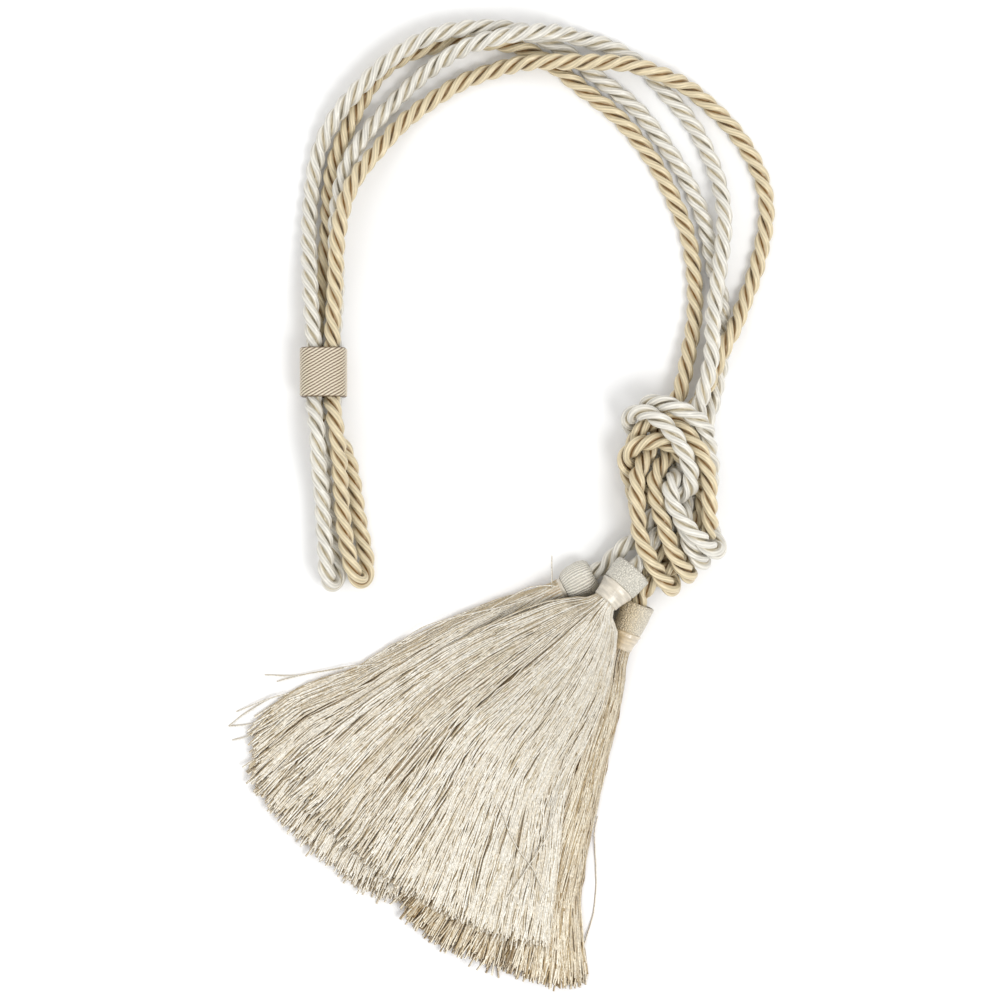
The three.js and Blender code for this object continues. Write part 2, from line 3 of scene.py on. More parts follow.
import bpy
import numpy as np
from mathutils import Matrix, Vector


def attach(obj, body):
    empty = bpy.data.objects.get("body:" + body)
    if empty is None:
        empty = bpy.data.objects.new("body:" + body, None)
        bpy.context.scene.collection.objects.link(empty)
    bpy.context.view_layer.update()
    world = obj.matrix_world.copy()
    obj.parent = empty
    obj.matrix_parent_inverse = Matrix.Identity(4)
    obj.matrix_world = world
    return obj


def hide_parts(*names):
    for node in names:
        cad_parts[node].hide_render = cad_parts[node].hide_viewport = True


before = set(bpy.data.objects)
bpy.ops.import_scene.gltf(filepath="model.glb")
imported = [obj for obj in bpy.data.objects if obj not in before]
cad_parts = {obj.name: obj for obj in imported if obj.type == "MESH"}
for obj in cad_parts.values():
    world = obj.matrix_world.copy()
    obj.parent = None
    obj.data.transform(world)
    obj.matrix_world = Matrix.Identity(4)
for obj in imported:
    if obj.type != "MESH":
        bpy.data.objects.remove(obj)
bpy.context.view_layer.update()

# ---------------------------------------------------------------------------
# Camera. A long lens looks straight down on the lying tieback and frames a
# square of 400 mm. The middle of the view is a little off the part's origin.
# ---------------------------------------------------------------------------
PART_MIDDLE = np.array([0.0011778, -0.0020766, 0.0])
VIEW_WIDTH = 0.400
LENS_MM = 100
SENSOR_MM = 36


def place_object(name, data):
    """A new object at the origin, in the scene."""
    placed = bpy.data.objects.new(name, data)
    bpy.context.collection.objects.link(placed)
    return placed


camera = place_object("view_camera", bpy.data.cameras.new("view_camera"))
camera.data.lens = LENS_MM
camera.data.sensor_width = SENSOR_MM
camera.location = (-PART_MIDDLE[0], -PART_MIDDLE[1], VIEW_WIDTH * LENS_MM / SENSOR_MM)
bpy.context.scene.camera = camera

# ---------------------------------------------------------------------------
# Ropes. Two lengths of silky cord, one ivory and one beige, each of three
# strands laid left-handed. Each is doubled at the hanging loop, and both go
# through the collar, round the bow and into one overhand knot.
# ---------------------------------------------------------------------------
ROPE_RADIUS = 0.0034
ROPE_VALLEY = 0.0012
ROPE_LAY = 0.022
STRANDS = 3

COLLAR_CENTRE = np.array([-0.070, 0.0506, 0.0088])
COLLAR_LENGTH = 0.0196
RUN_OFFSET = 0.00365
RUN_STRAIGHT = 0.003
# Places along a run inside the collar and at a head, each from its middle or top, and how far
# to each side of the collar's middle the ropes are held still
IN_BORE = 0.004
INTO_HEAD = (-0.005, -0.0015, 0.0015)
BORE_REACH = 0.0118

# A tassel's head: the point on its top where the rope goes in, its direction in plan, in
# degrees from +X, its climb for each metre in plan, and its girth as a share of the largest.
HEADS = {
    "left": {"top": (0.037, -0.0288, 0.0074), "turn": 208, "climb": -0.05, "girth": 0.9},
    "front": {"top": (0.053, -0.0272, 0.016), "turn": 227.7, "climb": 0.12, "girth": 1.0},
    "hidden": {"top": (0.0402, -0.0439, 0.0068), "turn": 233, "climb": -0.05, "girth": 0.82},
    "right": {"top": (0.0552, -0.041, 0.0069), "turn": 247.7, "climb": -0.05, "girth": 0.83},
}

# The four runs: which corner of the collar's bore each takes, and its tassel
RUNS = {
    "ivory_front": {"side": (-1, 1), "tassel": "left"},
    "ivory_back": {"side": (1, -1), "tassel": "front"},
    "beige_back": {"side": (-1, -1), "tassel": "hidden"},
    "beige_front": {"side": (1, 1), "tassel": "right"},
}

# Route of each run from the tip of the hanging loop to its tassel: x, y, and the lift of the
# rope's underside, in metres. The stretches in the collar and at the heads are filled in below.
IN_COLLAR = "in the collar"
ROUTES = {
    "ivory_front": [
        # fold
        (-0.0665, -0.0335, 0.0045), (-0.068, -0.0325, 0.0075), (-0.0685, -0.029, 0.009),
        # hanging leg
        (-0.069, -0.02, 0.0085), (-0.07, -0.008, 0.008), (-0.0705, 0.004, 0.0085),
        (-0.0715, 0.016, 0.011), (-0.072, 0.028, 0.014),
        IN_COLLAR,
        # left side
        (-0.0745, 0.072, 0.009), (-0.075, 0.08, 0.008), (-0.0755, 0.09, 0.006), (-0.076, 0.1, 0.0035),
        (-0.076, 0.112, 0.0015), (-0.0745, 0.1255, 0.0005), (-0.0715, 0.136, 0.0005),
        (-0.0685, 0.143, 0.0015), (-0.0655, 0.149, 0.0025), (-0.061, 0.1555, 0.0035),
        (-0.0535, 0.165, 0.0055),
        # top
        (-0.0455, 0.173, 0.0065), (-0.0355, 0.18, 0.007), (-0.024, 0.185, 0.007),
        (-0.012, 0.187, 0.007), (0.0, 0.187, 0.0075), (0.009, 0.186, 0.0065), (0.018, 0.183, 0.0025),
        (0.026, 0.179, 0.0), (0.037, 0.169, 0.0),
        # right side
        (0.0505, 0.1595, 0.0), (0.057, 0.153, 0.0), (0.065, 0.1425, 0.0), (0.072, 0.132, 0.0),
        (0.0775, 0.121, 0.0), (0.082, 0.109, 0.0), (0.0855, 0.09, 0.0), (0.088, 0.083, 0.0),
        (0.089, 0.076, 0.0), (0.089, 0.06, 0.0), (0.087, 0.05, 0.0), (0.085, 0.04, 0.0005),
        # front column
        (0.0815, 0.03, 0.003), (0.079, 0.02, 0.0065), (0.0765, 0.009, 0.0095), (0.074, -0.001, 0.014),
        (0.073, -0.009, 0.017), (0.0745, -0.0165, 0.016), (0.0765, -0.0215, 0.011),
        # back
        (0.0765, -0.023, 0.006), (0.075, -0.019, 0.0015), (0.071, -0.009, 0.0), (0.0665, 0.003, 0.0),
        (0.062, 0.0145, 0.0), (0.058, 0.0205, 0.0), (0.0545, 0.025, 0.003),
        # curl over
        (0.0525, 0.0285, 0.009), (0.053, 0.0325, 0.0155), (0.0545, 0.035, 0.0195),
        (0.057, 0.0355, 0.0215), (0.0605, 0.0335, 0.023), (0.064, 0.0305, 0.0235),
        (0.067, 0.0265, 0.0235), (0.0705, 0.0215, 0.0235), (0.073, 0.016, 0.023), (0.075, 0.011, 0.022),
        # tail
        (0.0755, 0.006, 0.0195), (0.075, 0.001, 0.016), (0.0735, -0.003, 0.0125),
        (0.071, -0.0075, 0.0095), (0.066, -0.012, 0.0085), (0.06, -0.015, 0.0085),
        (0.0545, -0.0155, 0.008), (0.0505, -0.017, 0.007), (0.0465, -0.02, 0.005),
    ],
    "ivory_back": [
        # fold
        (-0.065, -0.0325, 0.0015), (-0.0645, -0.029, 0.0),
        # hanging leg
        (-0.065, -0.022, 0.0), (-0.0675, -0.01, 0.0), (-0.0695, 0.002, 0.001), (-0.07, 0.012, 0.0045),
        (-0.0685, 0.022, 0.007), (-0.067, 0.032, 0.0045),
        IN_COLLAR,
        # left side
        (-0.066, 0.073, 0.0015), (-0.0655, 0.084, 0.0025), (-0.065, 0.095, 0.005),
        (-0.065, 0.104, 0.0065), (-0.0645, 0.116, 0.007), (-0.063, 0.123, 0.007),
        (-0.0615, 0.13, 0.0065), (-0.0585, 0.137, 0.0055), (-0.0545, 0.144, 0.0035),
        (-0.0495, 0.1505, 0.0015), (-0.04, 0.161, 0.0),
        # top
        (-0.034, 0.1665, 0.0005), (-0.028, 0.171, 0.0025), (-0.022, 0.175, 0.006),
        (-0.013, 0.179, 0.0105), (-0.004, 0.1815, 0.014), (0.004, 0.183, 0.0145),
        (0.016, 0.185, 0.0115), (0.024, 0.1845, 0.0055), (0.034, 0.183, 0.001), (0.042, 0.1815, 0.0),
        # right side
        (0.055, 0.174, 0.0), (0.0655, 0.163, 0.0), (0.075, 0.152, 0.0), (0.0795, 0.145, 0.0),
        (0.084, 0.135, 0.001), (0.087, 0.1265, 0.0025), (0.0885, 0.117, 0.005), (0.089, 0.108, 0.007),
        (0.088, 0.1, 0.0075), (0.086, 0.084, 0.0075), (0.0845, 0.076, 0.0085), (0.084, 0.068, 0.011),
        (0.0835, 0.06, 0.013), (0.083, 0.053, 0.0135), (0.081, 0.046, 0.013), (0.079, 0.039, 0.0125),
        # front column
        (0.077, 0.03, 0.0105), (0.074, 0.021, 0.009), (0.0715, 0.014, 0.0105), (0.069, 0.007, 0.015),
        (0.0685, 0.0, 0.0185), (0.0695, -0.0065, 0.0215), (0.0725, -0.012, 0.022),
        (0.076, -0.0155, 0.0195), (0.08, -0.0175, 0.0145), (0.083, -0.015, 0.0075),
        # back
        (0.0825, -0.01, 0.0025), (0.08, -0.005, 0.0), (0.075, 0.004, 0.0), (0.0695, 0.0145, 0.0),
        (0.066, 0.0225, 0.0), (0.063, 0.029, 0.0), (0.06, 0.034, 0.0015),
        # curl over
        (0.058, 0.0365, 0.0075), (0.059, 0.0375, 0.0145), (0.063, 0.037, 0.0205),
        (0.068, 0.037, 0.0225), (0.072, 0.035, 0.0225), (0.0755, 0.032, 0.0215), (0.079, 0.027, 0.0185),
        (0.0815, 0.021, 0.0135),
        # tail
        (0.0825, 0.013, 0.0105), (0.081, 0.004, 0.0085), (0.0775, -0.005, 0.0075),
        (0.073, -0.012, 0.008), (0.0675, -0.0165, 0.0085), (0.063, -0.0185, 0.0095),
        (0.0595, -0.0205, 0.0105),
    ],
    "beige_back": [
        # fold
        (-0.0535, -0.031, 0.0015), (-0.053, -0.027, 0.0),
        # hanging leg
        (-0.0545, -0.018, 0.0), (-0.057, -0.004, 0.0), (-0.059, 0.01, 0.0), (-0.0625, 0.021, 0.0),
        (-0.0675, 0.03, 0.0),
        IN_COLLAR,
        # left side
        (-0.0725, 0.073, 0.001), (-0.071, 0.084, 0.0), (-0.0695, 0.098, 0.0), (-0.0685, 0.112, 0.0),
        (-0.068, 0.129, 0.0), (-0.067, 0.137, 0.0), (-0.065, 0.143, 0.0), (-0.059, 0.155, 0.0),
        (-0.0515, 0.1655, 0.0),
        # top
        (-0.047, 0.171, 0.0), (-0.041, 0.1755, 0.0), (-0.032, 0.1795, 0.0), (-0.024, 0.1815, 0.0),
        (-0.016, 0.183, 0.0), (0.0, 0.182, 0.0), (0.01, 0.18, 0.0), (0.018, 0.176, 0.0),
        (0.025, 0.171, 0.0), (0.032, 0.165, 0.0),
        # right side
        (0.0425, 0.157, 0.0), (0.053, 0.146, 0.0), (0.0625, 0.133, 0.0), (0.0695, 0.119, 0.0),
        (0.075, 0.105, 0.0), (0.0775, 0.088, 0.0), (0.0775, 0.073, 0.001), (0.0765, 0.066, 0.002),
        (0.075, 0.06, 0.003), (0.074, 0.053, 0.004), (0.0725, 0.047, 0.005), (0.0705, 0.0405, 0.0055),
        # front column
        (0.0675, 0.034, 0.007), (0.0635, 0.0275, 0.0085), (0.0605, 0.022, 0.01), (0.058, 0.017, 0.0125),
        (0.057, 0.01, 0.0165), (0.0555, 0.004, 0.0185), (0.055, -0.002, 0.019), (0.054, -0.0085, 0.019),
        (0.055, -0.015, 0.0185), (0.057, -0.0215, 0.017), (0.0605, -0.027, 0.013),
        (0.065, -0.031, 0.0075),
        # back
        (0.067, -0.031, 0.0025), (0.0655, -0.027, 0.0), (0.062, -0.0185, 0.0), (0.0575, -0.008, 0.0),
        (0.054, 0.001, 0.003),
        # curl over
        (0.0525, 0.0085, 0.0085), (0.052, 0.0135, 0.012), (0.0525, 0.018, 0.0145),
        (0.055, 0.021, 0.0155), (0.058, 0.023, 0.0165), (0.062, 0.0235, 0.0165),
        (0.066, 0.0225, 0.0165), (0.07, 0.019, 0.0165), (0.0735, 0.0145, 0.016),
        # tail
        (0.0765, 0.008, 0.015), (0.0775, 0.001, 0.0125), (0.076, -0.0055, 0.0095),
        (0.0715, -0.015, 0.008), (0.0655, -0.023, 0.0075), (0.059, -0.0285, 0.0035),
        (0.053, -0.0325, 0.0005), (0.048, -0.0365, 0.0),
    ],
    "beige_front": [
        # fold
        (-0.0555, -0.032, 0.0045), (-0.057, -0.031, 0.0075), (-0.058, -0.027, 0.009),
        # hanging leg
        (-0.0605, -0.019, 0.0085), (-0.062, -0.008, 0.008), (-0.063, 0.004, 0.008),
        (-0.0635, 0.016, 0.0105), (-0.0645, 0.028, 0.014),
        IN_COLLAR,
        # left side
        (-0.066, 0.073, 0.009), (-0.065, 0.086, 0.01), (-0.0645, 0.098, 0.013), (-0.0635, 0.106, 0.014),
        (-0.062, 0.114, 0.014), (-0.06, 0.121, 0.013), (-0.0575, 0.1265, 0.0115),
        (-0.0535, 0.1325, 0.009), (-0.049, 0.138, 0.0065), (-0.045, 0.143, 0.0045),
        (-0.041, 0.148, 0.0025), (-0.0355, 0.153, 0.001),
        # top
        (-0.029, 0.158, 0.0), (-0.0155, 0.1665, 0.0), (-0.009, 0.169, 0.0), (-0.0005, 0.1715, 0.001),
        (0.009, 0.1735, 0.0045), (0.02, 0.1735, 0.0075), (0.032, 0.1735, 0.0075),
        (0.048, 0.173, 0.0075), (0.056, 0.1715, 0.0075), (0.062, 0.169, 0.0075), (0.068, 0.167, 0.0055),
        # right side
        (0.074, 0.165, 0.002), (0.079, 0.161, 0.0), (0.0905, 0.1505, 0.0), (0.099, 0.139, 0.0),
        (0.105, 0.1255, 0.0), (0.106, 0.11, 0.0), (0.101, 0.088, 0.0), (0.098, 0.081, 0.0005),
        (0.095, 0.074, 0.0025), (0.0915, 0.067, 0.0055), (0.0885, 0.06, 0.007), (0.0855, 0.053, 0.007),
        (0.0825, 0.046, 0.006), (0.079, 0.039, 0.005),
        # front column
        (0.0745, 0.031, 0.006), (0.0695, 0.025, 0.0075), (0.0655, 0.0205, 0.0095),
        (0.063, 0.014, 0.014), (0.063, 0.006, 0.0185), (0.063, -0.0025, 0.02), (0.065, -0.0105, 0.0205),
        (0.067, -0.0175, 0.0185), (0.07, -0.024, 0.013), (0.073, -0.0275, 0.0065),
        # back
        (0.072, -0.024, 0.0015), (0.069, -0.0165, 0.0), (0.064, -0.0055, 0.0), (0.059, 0.0045, 0.0),
        (0.0555, 0.013, 0.0005),
        # curl over
        (0.0545, 0.019, 0.006), (0.057, 0.0245, 0.01), (0.0605, 0.03, 0.012), (0.064, 0.033, 0.0135),
        (0.0675, 0.033, 0.015), (0.0705, 0.031, 0.0165), (0.073, 0.027, 0.018), (0.0765, 0.0215, 0.019),
        (0.079, 0.015, 0.02), (0.081, 0.007, 0.02), (0.081, 0.0015, 0.019),
        # tail
        (0.0795, -0.003, 0.0155), (0.077, -0.0075, 0.0115), (0.074, -0.0145, 0.009),
        (0.071, -0.021, 0.008), (0.067, -0.027, 0.0075), (0.063, -0.031, 0.0065),
    ],
}

# How the lying ropes settle. Path points stand SPACING apart and runs keep APART between
# their centres. The shares say how far one round moves a point for each cause.
SPACING = 0.0026
APART = 0.0072
REACH = 0.004
SKIP = 6
HELD_ENDS = 3
ROUNDS = 360
RELIST = 10
EASING = 0.75
PRESS = 0.9
STRAIGHTEN = 0.8
STRETCH = 0.25
HOME_FIRST = 0.02
HOME_LAST = 0.001
CALMEST = 0.3


def unit(vectors):
    return vectors / np.linalg.norm(vectors, axis=-1, keepdims=True)


def head_frame(name):
    head = HEADS[name]
    turn = math.radians(head["turn"])
    along = unit(np.array([math.cos(turn), math.sin(turn), head["climb"]]))
    side = unit(np.cross([0, 0, 1], along))
    return np.array(head["top"]), along, side, np.cross(along, side)


def run_points(name):
    side_x, side_z = RUNS[name]["side"]
    mouth = COLLAR_LENGTH / 2 + RUN_STRAIGHT
    points = []
    for entry in ROUTES[name]:
        if entry == IN_COLLAR:
            for offset in (-mouth, -IN_BORE, IN_BORE, mouth):
                points.append(COLLAR_CENTRE + (side_x * RUN_OFFSET, offset, side_z * RUN_OFFSET))
        else:
            points.append(np.array(entry) + (0, 0, ROPE_RADIUS))
    top, along, _, _ = head_frame(RUNS[name]["tassel"])
    for offset in INTO_HEAD:
        points.append(top + along * offset)
    return np.array(points)


def even_steps(points, spacing):
    lengths = np.linalg.norm(np.diff(points, axis=0), axis=1)
    far = np.concatenate([[0], np.cumsum(lengths)])
    at = np.linspace(0, far[-1], int(round(far[-1] / spacing)) + 1)
    return np.stack([np.interp(at, far, points[:, axis]) for axis in range(3)], axis=1)


def smooth_curve(points, spacing, substeps=16):
    """Catmull-Rom curve through the points, cut into equal steps."""
    ends = [2 * points[:1] - points[1:2], points, 2 * points[-1:] - points[-2:-1]]
    a, b, c, d = (np.concatenate(ends)[k : k + len(points) - 1] for k in range(4))
    t = (np.arange(substeps) / substeps)[None, :, None]
    a, b, c, d = (p[:, None, :] for p in (a, b, c, d))
    curve = 0.5 * (
        2 * b + (c - a) * t + (2 * a - 5 * b + 4 * c - d) * t**2 + (3 * b - a - 3 * c + d) * t**3
    )
    return even_steps(np.concatenate([curve.reshape(-1, 3), points[-1:]]), spacing)


def settle(ropes):
    """Ropes push apart where they press, stay smooth, and are held by collar, heads and table."""
    home = np.concatenate(ropes)
    here = home.copy()
    rope_of = np.repeat(np.arange(len(ropes)), [len(rope) for rope in ropes])
    edges = np.cumsum([0] + [len(rope) for rope in ropes])
    spans = list(zip(edges[:-1], edges[1:]))
    held = (np.abs(home[:, 1] - COLLAR_CENTRE[1]) < COLLAR_LENGTH / 2 + RUN_STRAIGHT) & (
        np.abs(home[:, 0] - COLLAR_CENTRE[0]) < BORE_REACH
    )
    for start, end in spans:
        held[start : start + HELD_ENDS] = True
        held[end - HELD_ENDS : end] = True
    number = np.arange(len(here))
    apart_enough = (rope_of[:, None] != rope_of[None]) | (number[None] - number[:, None] >= SKIP)
    for count in range(ROUNDS):
        if count % RELIST == 0:
            gaps = np.linalg.norm(here[:, None] - here[None], axis=2)
            near = np.triu(gaps < APART + REACH, 1) & apart_enough
            first, second = np.nonzero(near)
        gap = here[first] - here[second]
        distance = np.linalg.norm(gap, axis=1)
        pressing = distance < APART
        i, j = first[pressing], second[pressing]
        shove = gap[pressing] * (0.5 * (APART - distance[pressing]) / distance[pressing])[:, None]
        push = np.zeros_like(here)
        touching = np.zeros(len(here))
        np.add.at(push, i, shove)
        np.add.at(push, j, -shove)
        np.add.at(touching, i, 1)
        np.add.at(touching, j, 1)
        push /= np.maximum(1, touching)[:, None]
        smooth = np.zeros_like(here)
        for start, end in spans:
            rope = here[start:end]
            bend = rope[4:] - 4 * rope[3:-1] + 6 * rope[2:-2] - 4 * rope[1:-3] + rope[:-4]
            smooth[start + 2 : end - 2] -= bend * STRAIGHTEN / 16
            link = np.diff(rope, axis=0)
            length = np.linalg.norm(link, axis=1, keepdims=True)
            slack = link * STRETCH * 0.5 * (length - SPACING) / length
            smooth[start : end - 1] += slack
            smooth[start + 1 : end] -= slack
        ease = max(0, 1 - count / (EASING * ROUNDS))
        move = PRESS * push + (CALMEST + (1 - CALMEST) * ease) * smooth
        move += (HOME_FIRST * ease + HOME_LAST) * (home - here)
        here[~held] += move[~held]
        here[:, 2] = np.maximum(here[:, 2], ROPE_RADIUS)
    return [here[start:end] - PART_MIDDLE for start, end in spans]


def rope_route(one, other):
    return smooth_curve(np.concatenate([run_points(one)[::-1], run_points(other)]), SPACING)


ivory_path, beige_path = settle(
    [rope_route("ivory_front", "ivory_back"), rope_route("beige_front", "beige_back")]
)


def give_attributes(mesh, attributes):
    for key, values in attributes.items():
        numbers = np.asarray(values, dtype=np.float32).ravel()
        mesh.attributes.new(key, "FLOAT", "POINT").data.foreach_set("value", numbers)


def new_piece(name, vertices, faces, attributes):
    """A smooth mesh object at the origin, with float attributes on its points."""
    mesh = bpy.data.meshes.new(name)
    mesh.from_pydata(vertices.tolist(), [], faces)
    give_attributes(mesh, attributes)
    mesh.polygons.foreach_set("use_smooth", [True] * len(mesh.polygons))
    mesh.update()
    return place_object(name, mesh)


def tube_faces(rings, around):
    """Quads between rings of points that run counter-clockwise about the way of travel."""
    ring = np.arange(rings - 1)[:, None] * around
    here = np.arange(around)[None]
    after = (here + 1) % around
    quads = [ring + here, ring + after, ring + around + after, ring + around + here]
    return np.stack([np.broadcast_to(q, (rings - 1, around)) for q in quads], axis=-1).reshape(-1, 4)


ROPE_STEP = 0.00072
# Points across one strand: their angles about the strand's own middle, from valley to valley
ACROSS_STRAND = np.array([-1.0, -0.72, -0.52, -0.34, -0.17, 0, 0.17, 0.34, 0.52, 0.72])


def strand_outline():
    """Angle and radius of points round the rope, and where each is across its strand."""
    half = math.pi / STRANDS
    offset = (ROPE_RADIUS**2 - ROPE_VALLEY**2) / (2 * (ROPE_RADIUS - ROPE_VALLEY * math.cos(half)))
    lobe = ROPE_RADIUS - offset
    widest = math.atan2(ROPE_VALLEY * math.sin(half), ROPE_VALLEY * math.cos(half) - offset)
    x = offset + lobe * np.cos(widest * ACROSS_STRAND)
    y = lobe * np.sin(widest * ACROSS_STRAND)
    turns = 2 * half * np.arange(STRANDS)[:, None]
    angle = (np.arctan2(y, x)[None] + turns).ravel()
    lane = (0.5 * ACROSS_STRAND[None] + np.arange(STRANDS)[:, None]).ravel()
    return angle, np.tile(np.hypot(x, y), STRANDS), lane


def laid_rope(name, path):
    """Tube of three raised strands, which turn left-handed along the path."""
    line = smooth_curve(path, ROPE_STEP, substeps=8)
    tangent = unit(np.gradient(line, axis=0))
    across = np.zeros_like(line)
    across[0] = unit(np.array([tangent[0, 1], -tangent[0, 0], 0]))
    for i in range(1, len(line)):
        turned = across[i - 1] - tangent[i] * np.dot(across[i - 1], tangent[i])
        across[i] = unit(turned)
    other = np.cross(tangent, across)
    on_strand, radius, lane = strand_outline()
    around = len(lane)
    along = np.arange(len(line)) * ROPE_STEP
    angle = on_strand[None] - 2 * math.pi * along[:, None] / ROPE_LAY
    out = np.cos(angle)[..., None] * across[:, None] + np.sin(angle)[..., None] * other[:, None]
    points = line[:, None] + out * radius[None, :, None]
    vertices = np.concatenate([points.reshape(-1, 3), line[:1], line[-1:]])
    faces = tube_faces(len(line), around).tolist()
    last = (len(line) - 1) * around
    for j in range(around):
        k = (j + 1) % around
        faces.append((len(vertices) - 2, k, j))
        faces.append((len(vertices) - 1, last + j, last + k))
    crown = 1 - np.abs(np.tile(ACROSS_STRAND, STRANDS))
    rows = len(line)
    return new_piece(
        name,
        vertices,
        faces,
        {
            "crown": np.concatenate([np.tile(crown, rows), [0, 0]]),
            "far": np.concatenate([np.repeat(along, around), [0, along[-1]]]),
            "lane": np.concatenate([np.tile(lane, rows), [0, 0]]),
        },
    )


def linear(red, green, blue):
    """Screen colour, 0 to 255, as the linear colour that sockets take."""
    share = (c / 255 for c in (red, green, blue))
    return (*((s / 12.92 if s <= 0.04045 else ((s + 0.055) / 1.055) ** 2.4) for s in share), 1)


def new_group(name, kind, inputs, outputs):
    """Node group with named sockets. Inputs are given as (name, type, default or None)."""
    group = bpy.data.node_groups.new(name, kind)
    for label, socket_type, default in inputs:
        socket = group.interface.new_socket(label, in_out="INPUT", socket_type=socket_type)
        if default is not None:
            socket.default_value = default
    for label, socket_type in outputs:
        group.interface.new_socket(label, in_out="OUTPUT", socket_type=socket_type)
    return group, group.nodes.new("NodeGroupInput"), group.nodes.new("NodeGroupOutput")


def add_node(tree, kind, settings=None, **links):
    """Add a node. Each link is an input socket's name or number, with a socket or a value."""
    node = tree.nodes.new(kind)
    for key, value in (settings or {}).items():
        setattr(node, key, value)
    for key, value in links.items():
        socket = node.inputs[int(key[1:]) if key[0] == "_" else key.replace("_", " ")]
        if isinstance(value, bpy.types.NodeSocket):
            tree.links.new(value, socket)
        else:
            socket.default_value = value
    return node


def maths(tree, operation, *values):
    """One step of arithmetic on numbers or sockets."""
    links = {f"_{place}": value for place, value in enumerate(values)}
    return add_node(tree, "ShaderNodeMath", {"operation": operation}, **links).outputs[0]


def vector_maths(tree, operation, *values, **links):
    """One step of arithmetic on vectors."""
    links.update({f"_{place}": value for place, value in enumerate(values)})
    return add_node(tree, "ShaderNodeVectorMath", {"operation": operation}, **links).outputs[0]


def read_attribute(tree, name):
    """A float attribute of the piece's points, as its material reads it."""
    return add_node(tree, "ShaderNodeAttribute", {"attribute_name": name}).outputs["Fac"]


def remap(tree, value, low, high, to_low=0.0, to_high=1.0, curve="LINEAR"):
    """Take the range from low to high to another range, and stay inside that."""
    return add_node(
        tree, "ShaderNodeMapRange", {"interpolation_type": curve}, Value=value, From_Min=low,
        From_Max=high, To_Min=to_low, To_Max=to_high,
    ).outputs[0]


def mix_colours(tree, share, low, high):
    """The low colour where share is 0, and the high one where it is 1."""
    settings = {"data_type": "RGBA"}
    return add_node(tree, "ShaderNodeMix", settings, Factor=share, _6=low, _7=high).outputs[2]


def noise_texture(tree, place, detail, scale=1.0, roughness=0.5):
    return add_node(
        tree, "ShaderNodeTexNoise", Vector=place, Scale=scale, Detail=detail, Roughness=roughness
    ).outputs["Fac"]


def new_material(name, **looks):
    """A material, its tree and its shader. The looks are inputs of the shader."""
    material = bpy.data.materials.new(name)
    material.use_nodes = True
    shader = material.node_tree.nodes["Principled BSDF"]
    for key, value in looks.items():
        shader.inputs[key.replace("_", " ")].default_value = value
    return material, material.node_tree, shader


def set_colour(tree, shader, colour, shade):
    """Base colour, made lighter or darker by shade."""
    tree.links.new(vector_maths(tree, "SCALE", colour, Scale=shade), shader.inputs["Base Color"])


def set_relief(tree, shader, height, strength, distance):
    bump = add_node(tree, "ShaderNodeBump", Strength=strength, Distance=distance, Height=height)
    tree.links.new(bump.outputs[0], shader.inputs["Normal"])


def silk_lines():
    """Fine filaments along a strand, from how far along the rope and in which lane a point is."""
    group, inside, out = new_group(
        "silk_lines",
        "ShaderNodeTree",
        [
            ("Lines", "NodeSocketFloat", 4.5),
            ("Slant", "NodeSocketFloat", -22.0),
            ("Streak Length", "NodeSocketFloat", 0.009),
        ],
        [("Height", "NodeSocketFloat")],
    )
    far = read_attribute(group, "far")
    lane = read_attribute(group, "lane")
    shifted = maths(group, "MULTIPLY_ADD", far, inside.outputs["Slant"], lane)
    across = maths(group, "MULTIPLY", shifted, inside.outputs["Lines"])
    along = maths(group, "DIVIDE", far, inside.outputs["Streak Length"])
    place = add_node(group, "ShaderNodeCombineXYZ", X=across, Y=along).outputs[0]
    streaks = noise_texture(group, place, detail=2.0, scale=1.6, roughness=0.6)
    ridge = maths(group, "COSINE", maths(group, "MULTIPLY", across, 2 * math.pi))
    group.links.new(maths(group, "MULTIPLY_ADD", ridge, 0.16, streaks), out.inputs["Height"])
    return group


SILK_LINES = silk_lines()


def rope_silk(name, crest, painted_shade, gleam):
    """Twisted viscose: pale and glossy on the strands, with painted shade, warm and dark, between them."""
    material, tree, shader = new_material(
        name, Roughness=0.34, Specular_IOR_Level=0.85, Specular_Tint=gleam, Sheen_Weight=0.15,
        Sheen_Roughness=0.4, Sheen_Tint=gleam,
    )
    height = add_node(tree, "ShaderNodeGroup", {"node_tree": SILK_LINES}).outputs["Height"]
    # Painted shade: the valleys between the strands take the shade colour.
    ramp = remap(tree, read_attribute(tree, "crown"), 0.08, 0.5, curve="SMOOTHSTEP")
    # The filament lines lighten and darken the colour: partly the yarn's own streaks, partly painted
    # highlight along the strands.
    shade = remap(tree, height, 0.25, 0.75, 0.74, 1.12)
    set_colour(tree, shader, mix_colours(tree, ramp, painted_shade, crest), shade)
    set_relief(tree, shader, height, strength=1.0, distance=0.0005)
    return material


def finish_piece(piece, material, node):
    """Give a piece its material and its body, and hide the solid that it stands for."""
    piece.data.materials.clear()
    piece.data.materials.append(material)
    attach(piece, "root")
    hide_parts(node)


# Each rope: colour, path, first tassel, crest colour, painted shade colour for its valleys, gloss tint.
ROPES = [
    ("ivory", ivory_path, "left", linear(222, 218, 207), linear(186, 172, 140), (1.0, 1.0, 1.0, 1.0)),
    ("beige", beige_path, "right", linear(216, 201, 168), linear(126, 88, 30), (1.0, 0.93, 0.78, 1.0)),
]
for colour, path, first_tassel, crest, painted_shade, gleam in ROPES:
    rope = laid_rope(f"laid_rope_{colour}", path)
    finish_piece(rope, rope_silk(f"{colour}_silk", crest, painted_shade, gleam), f"rope_{colour}")

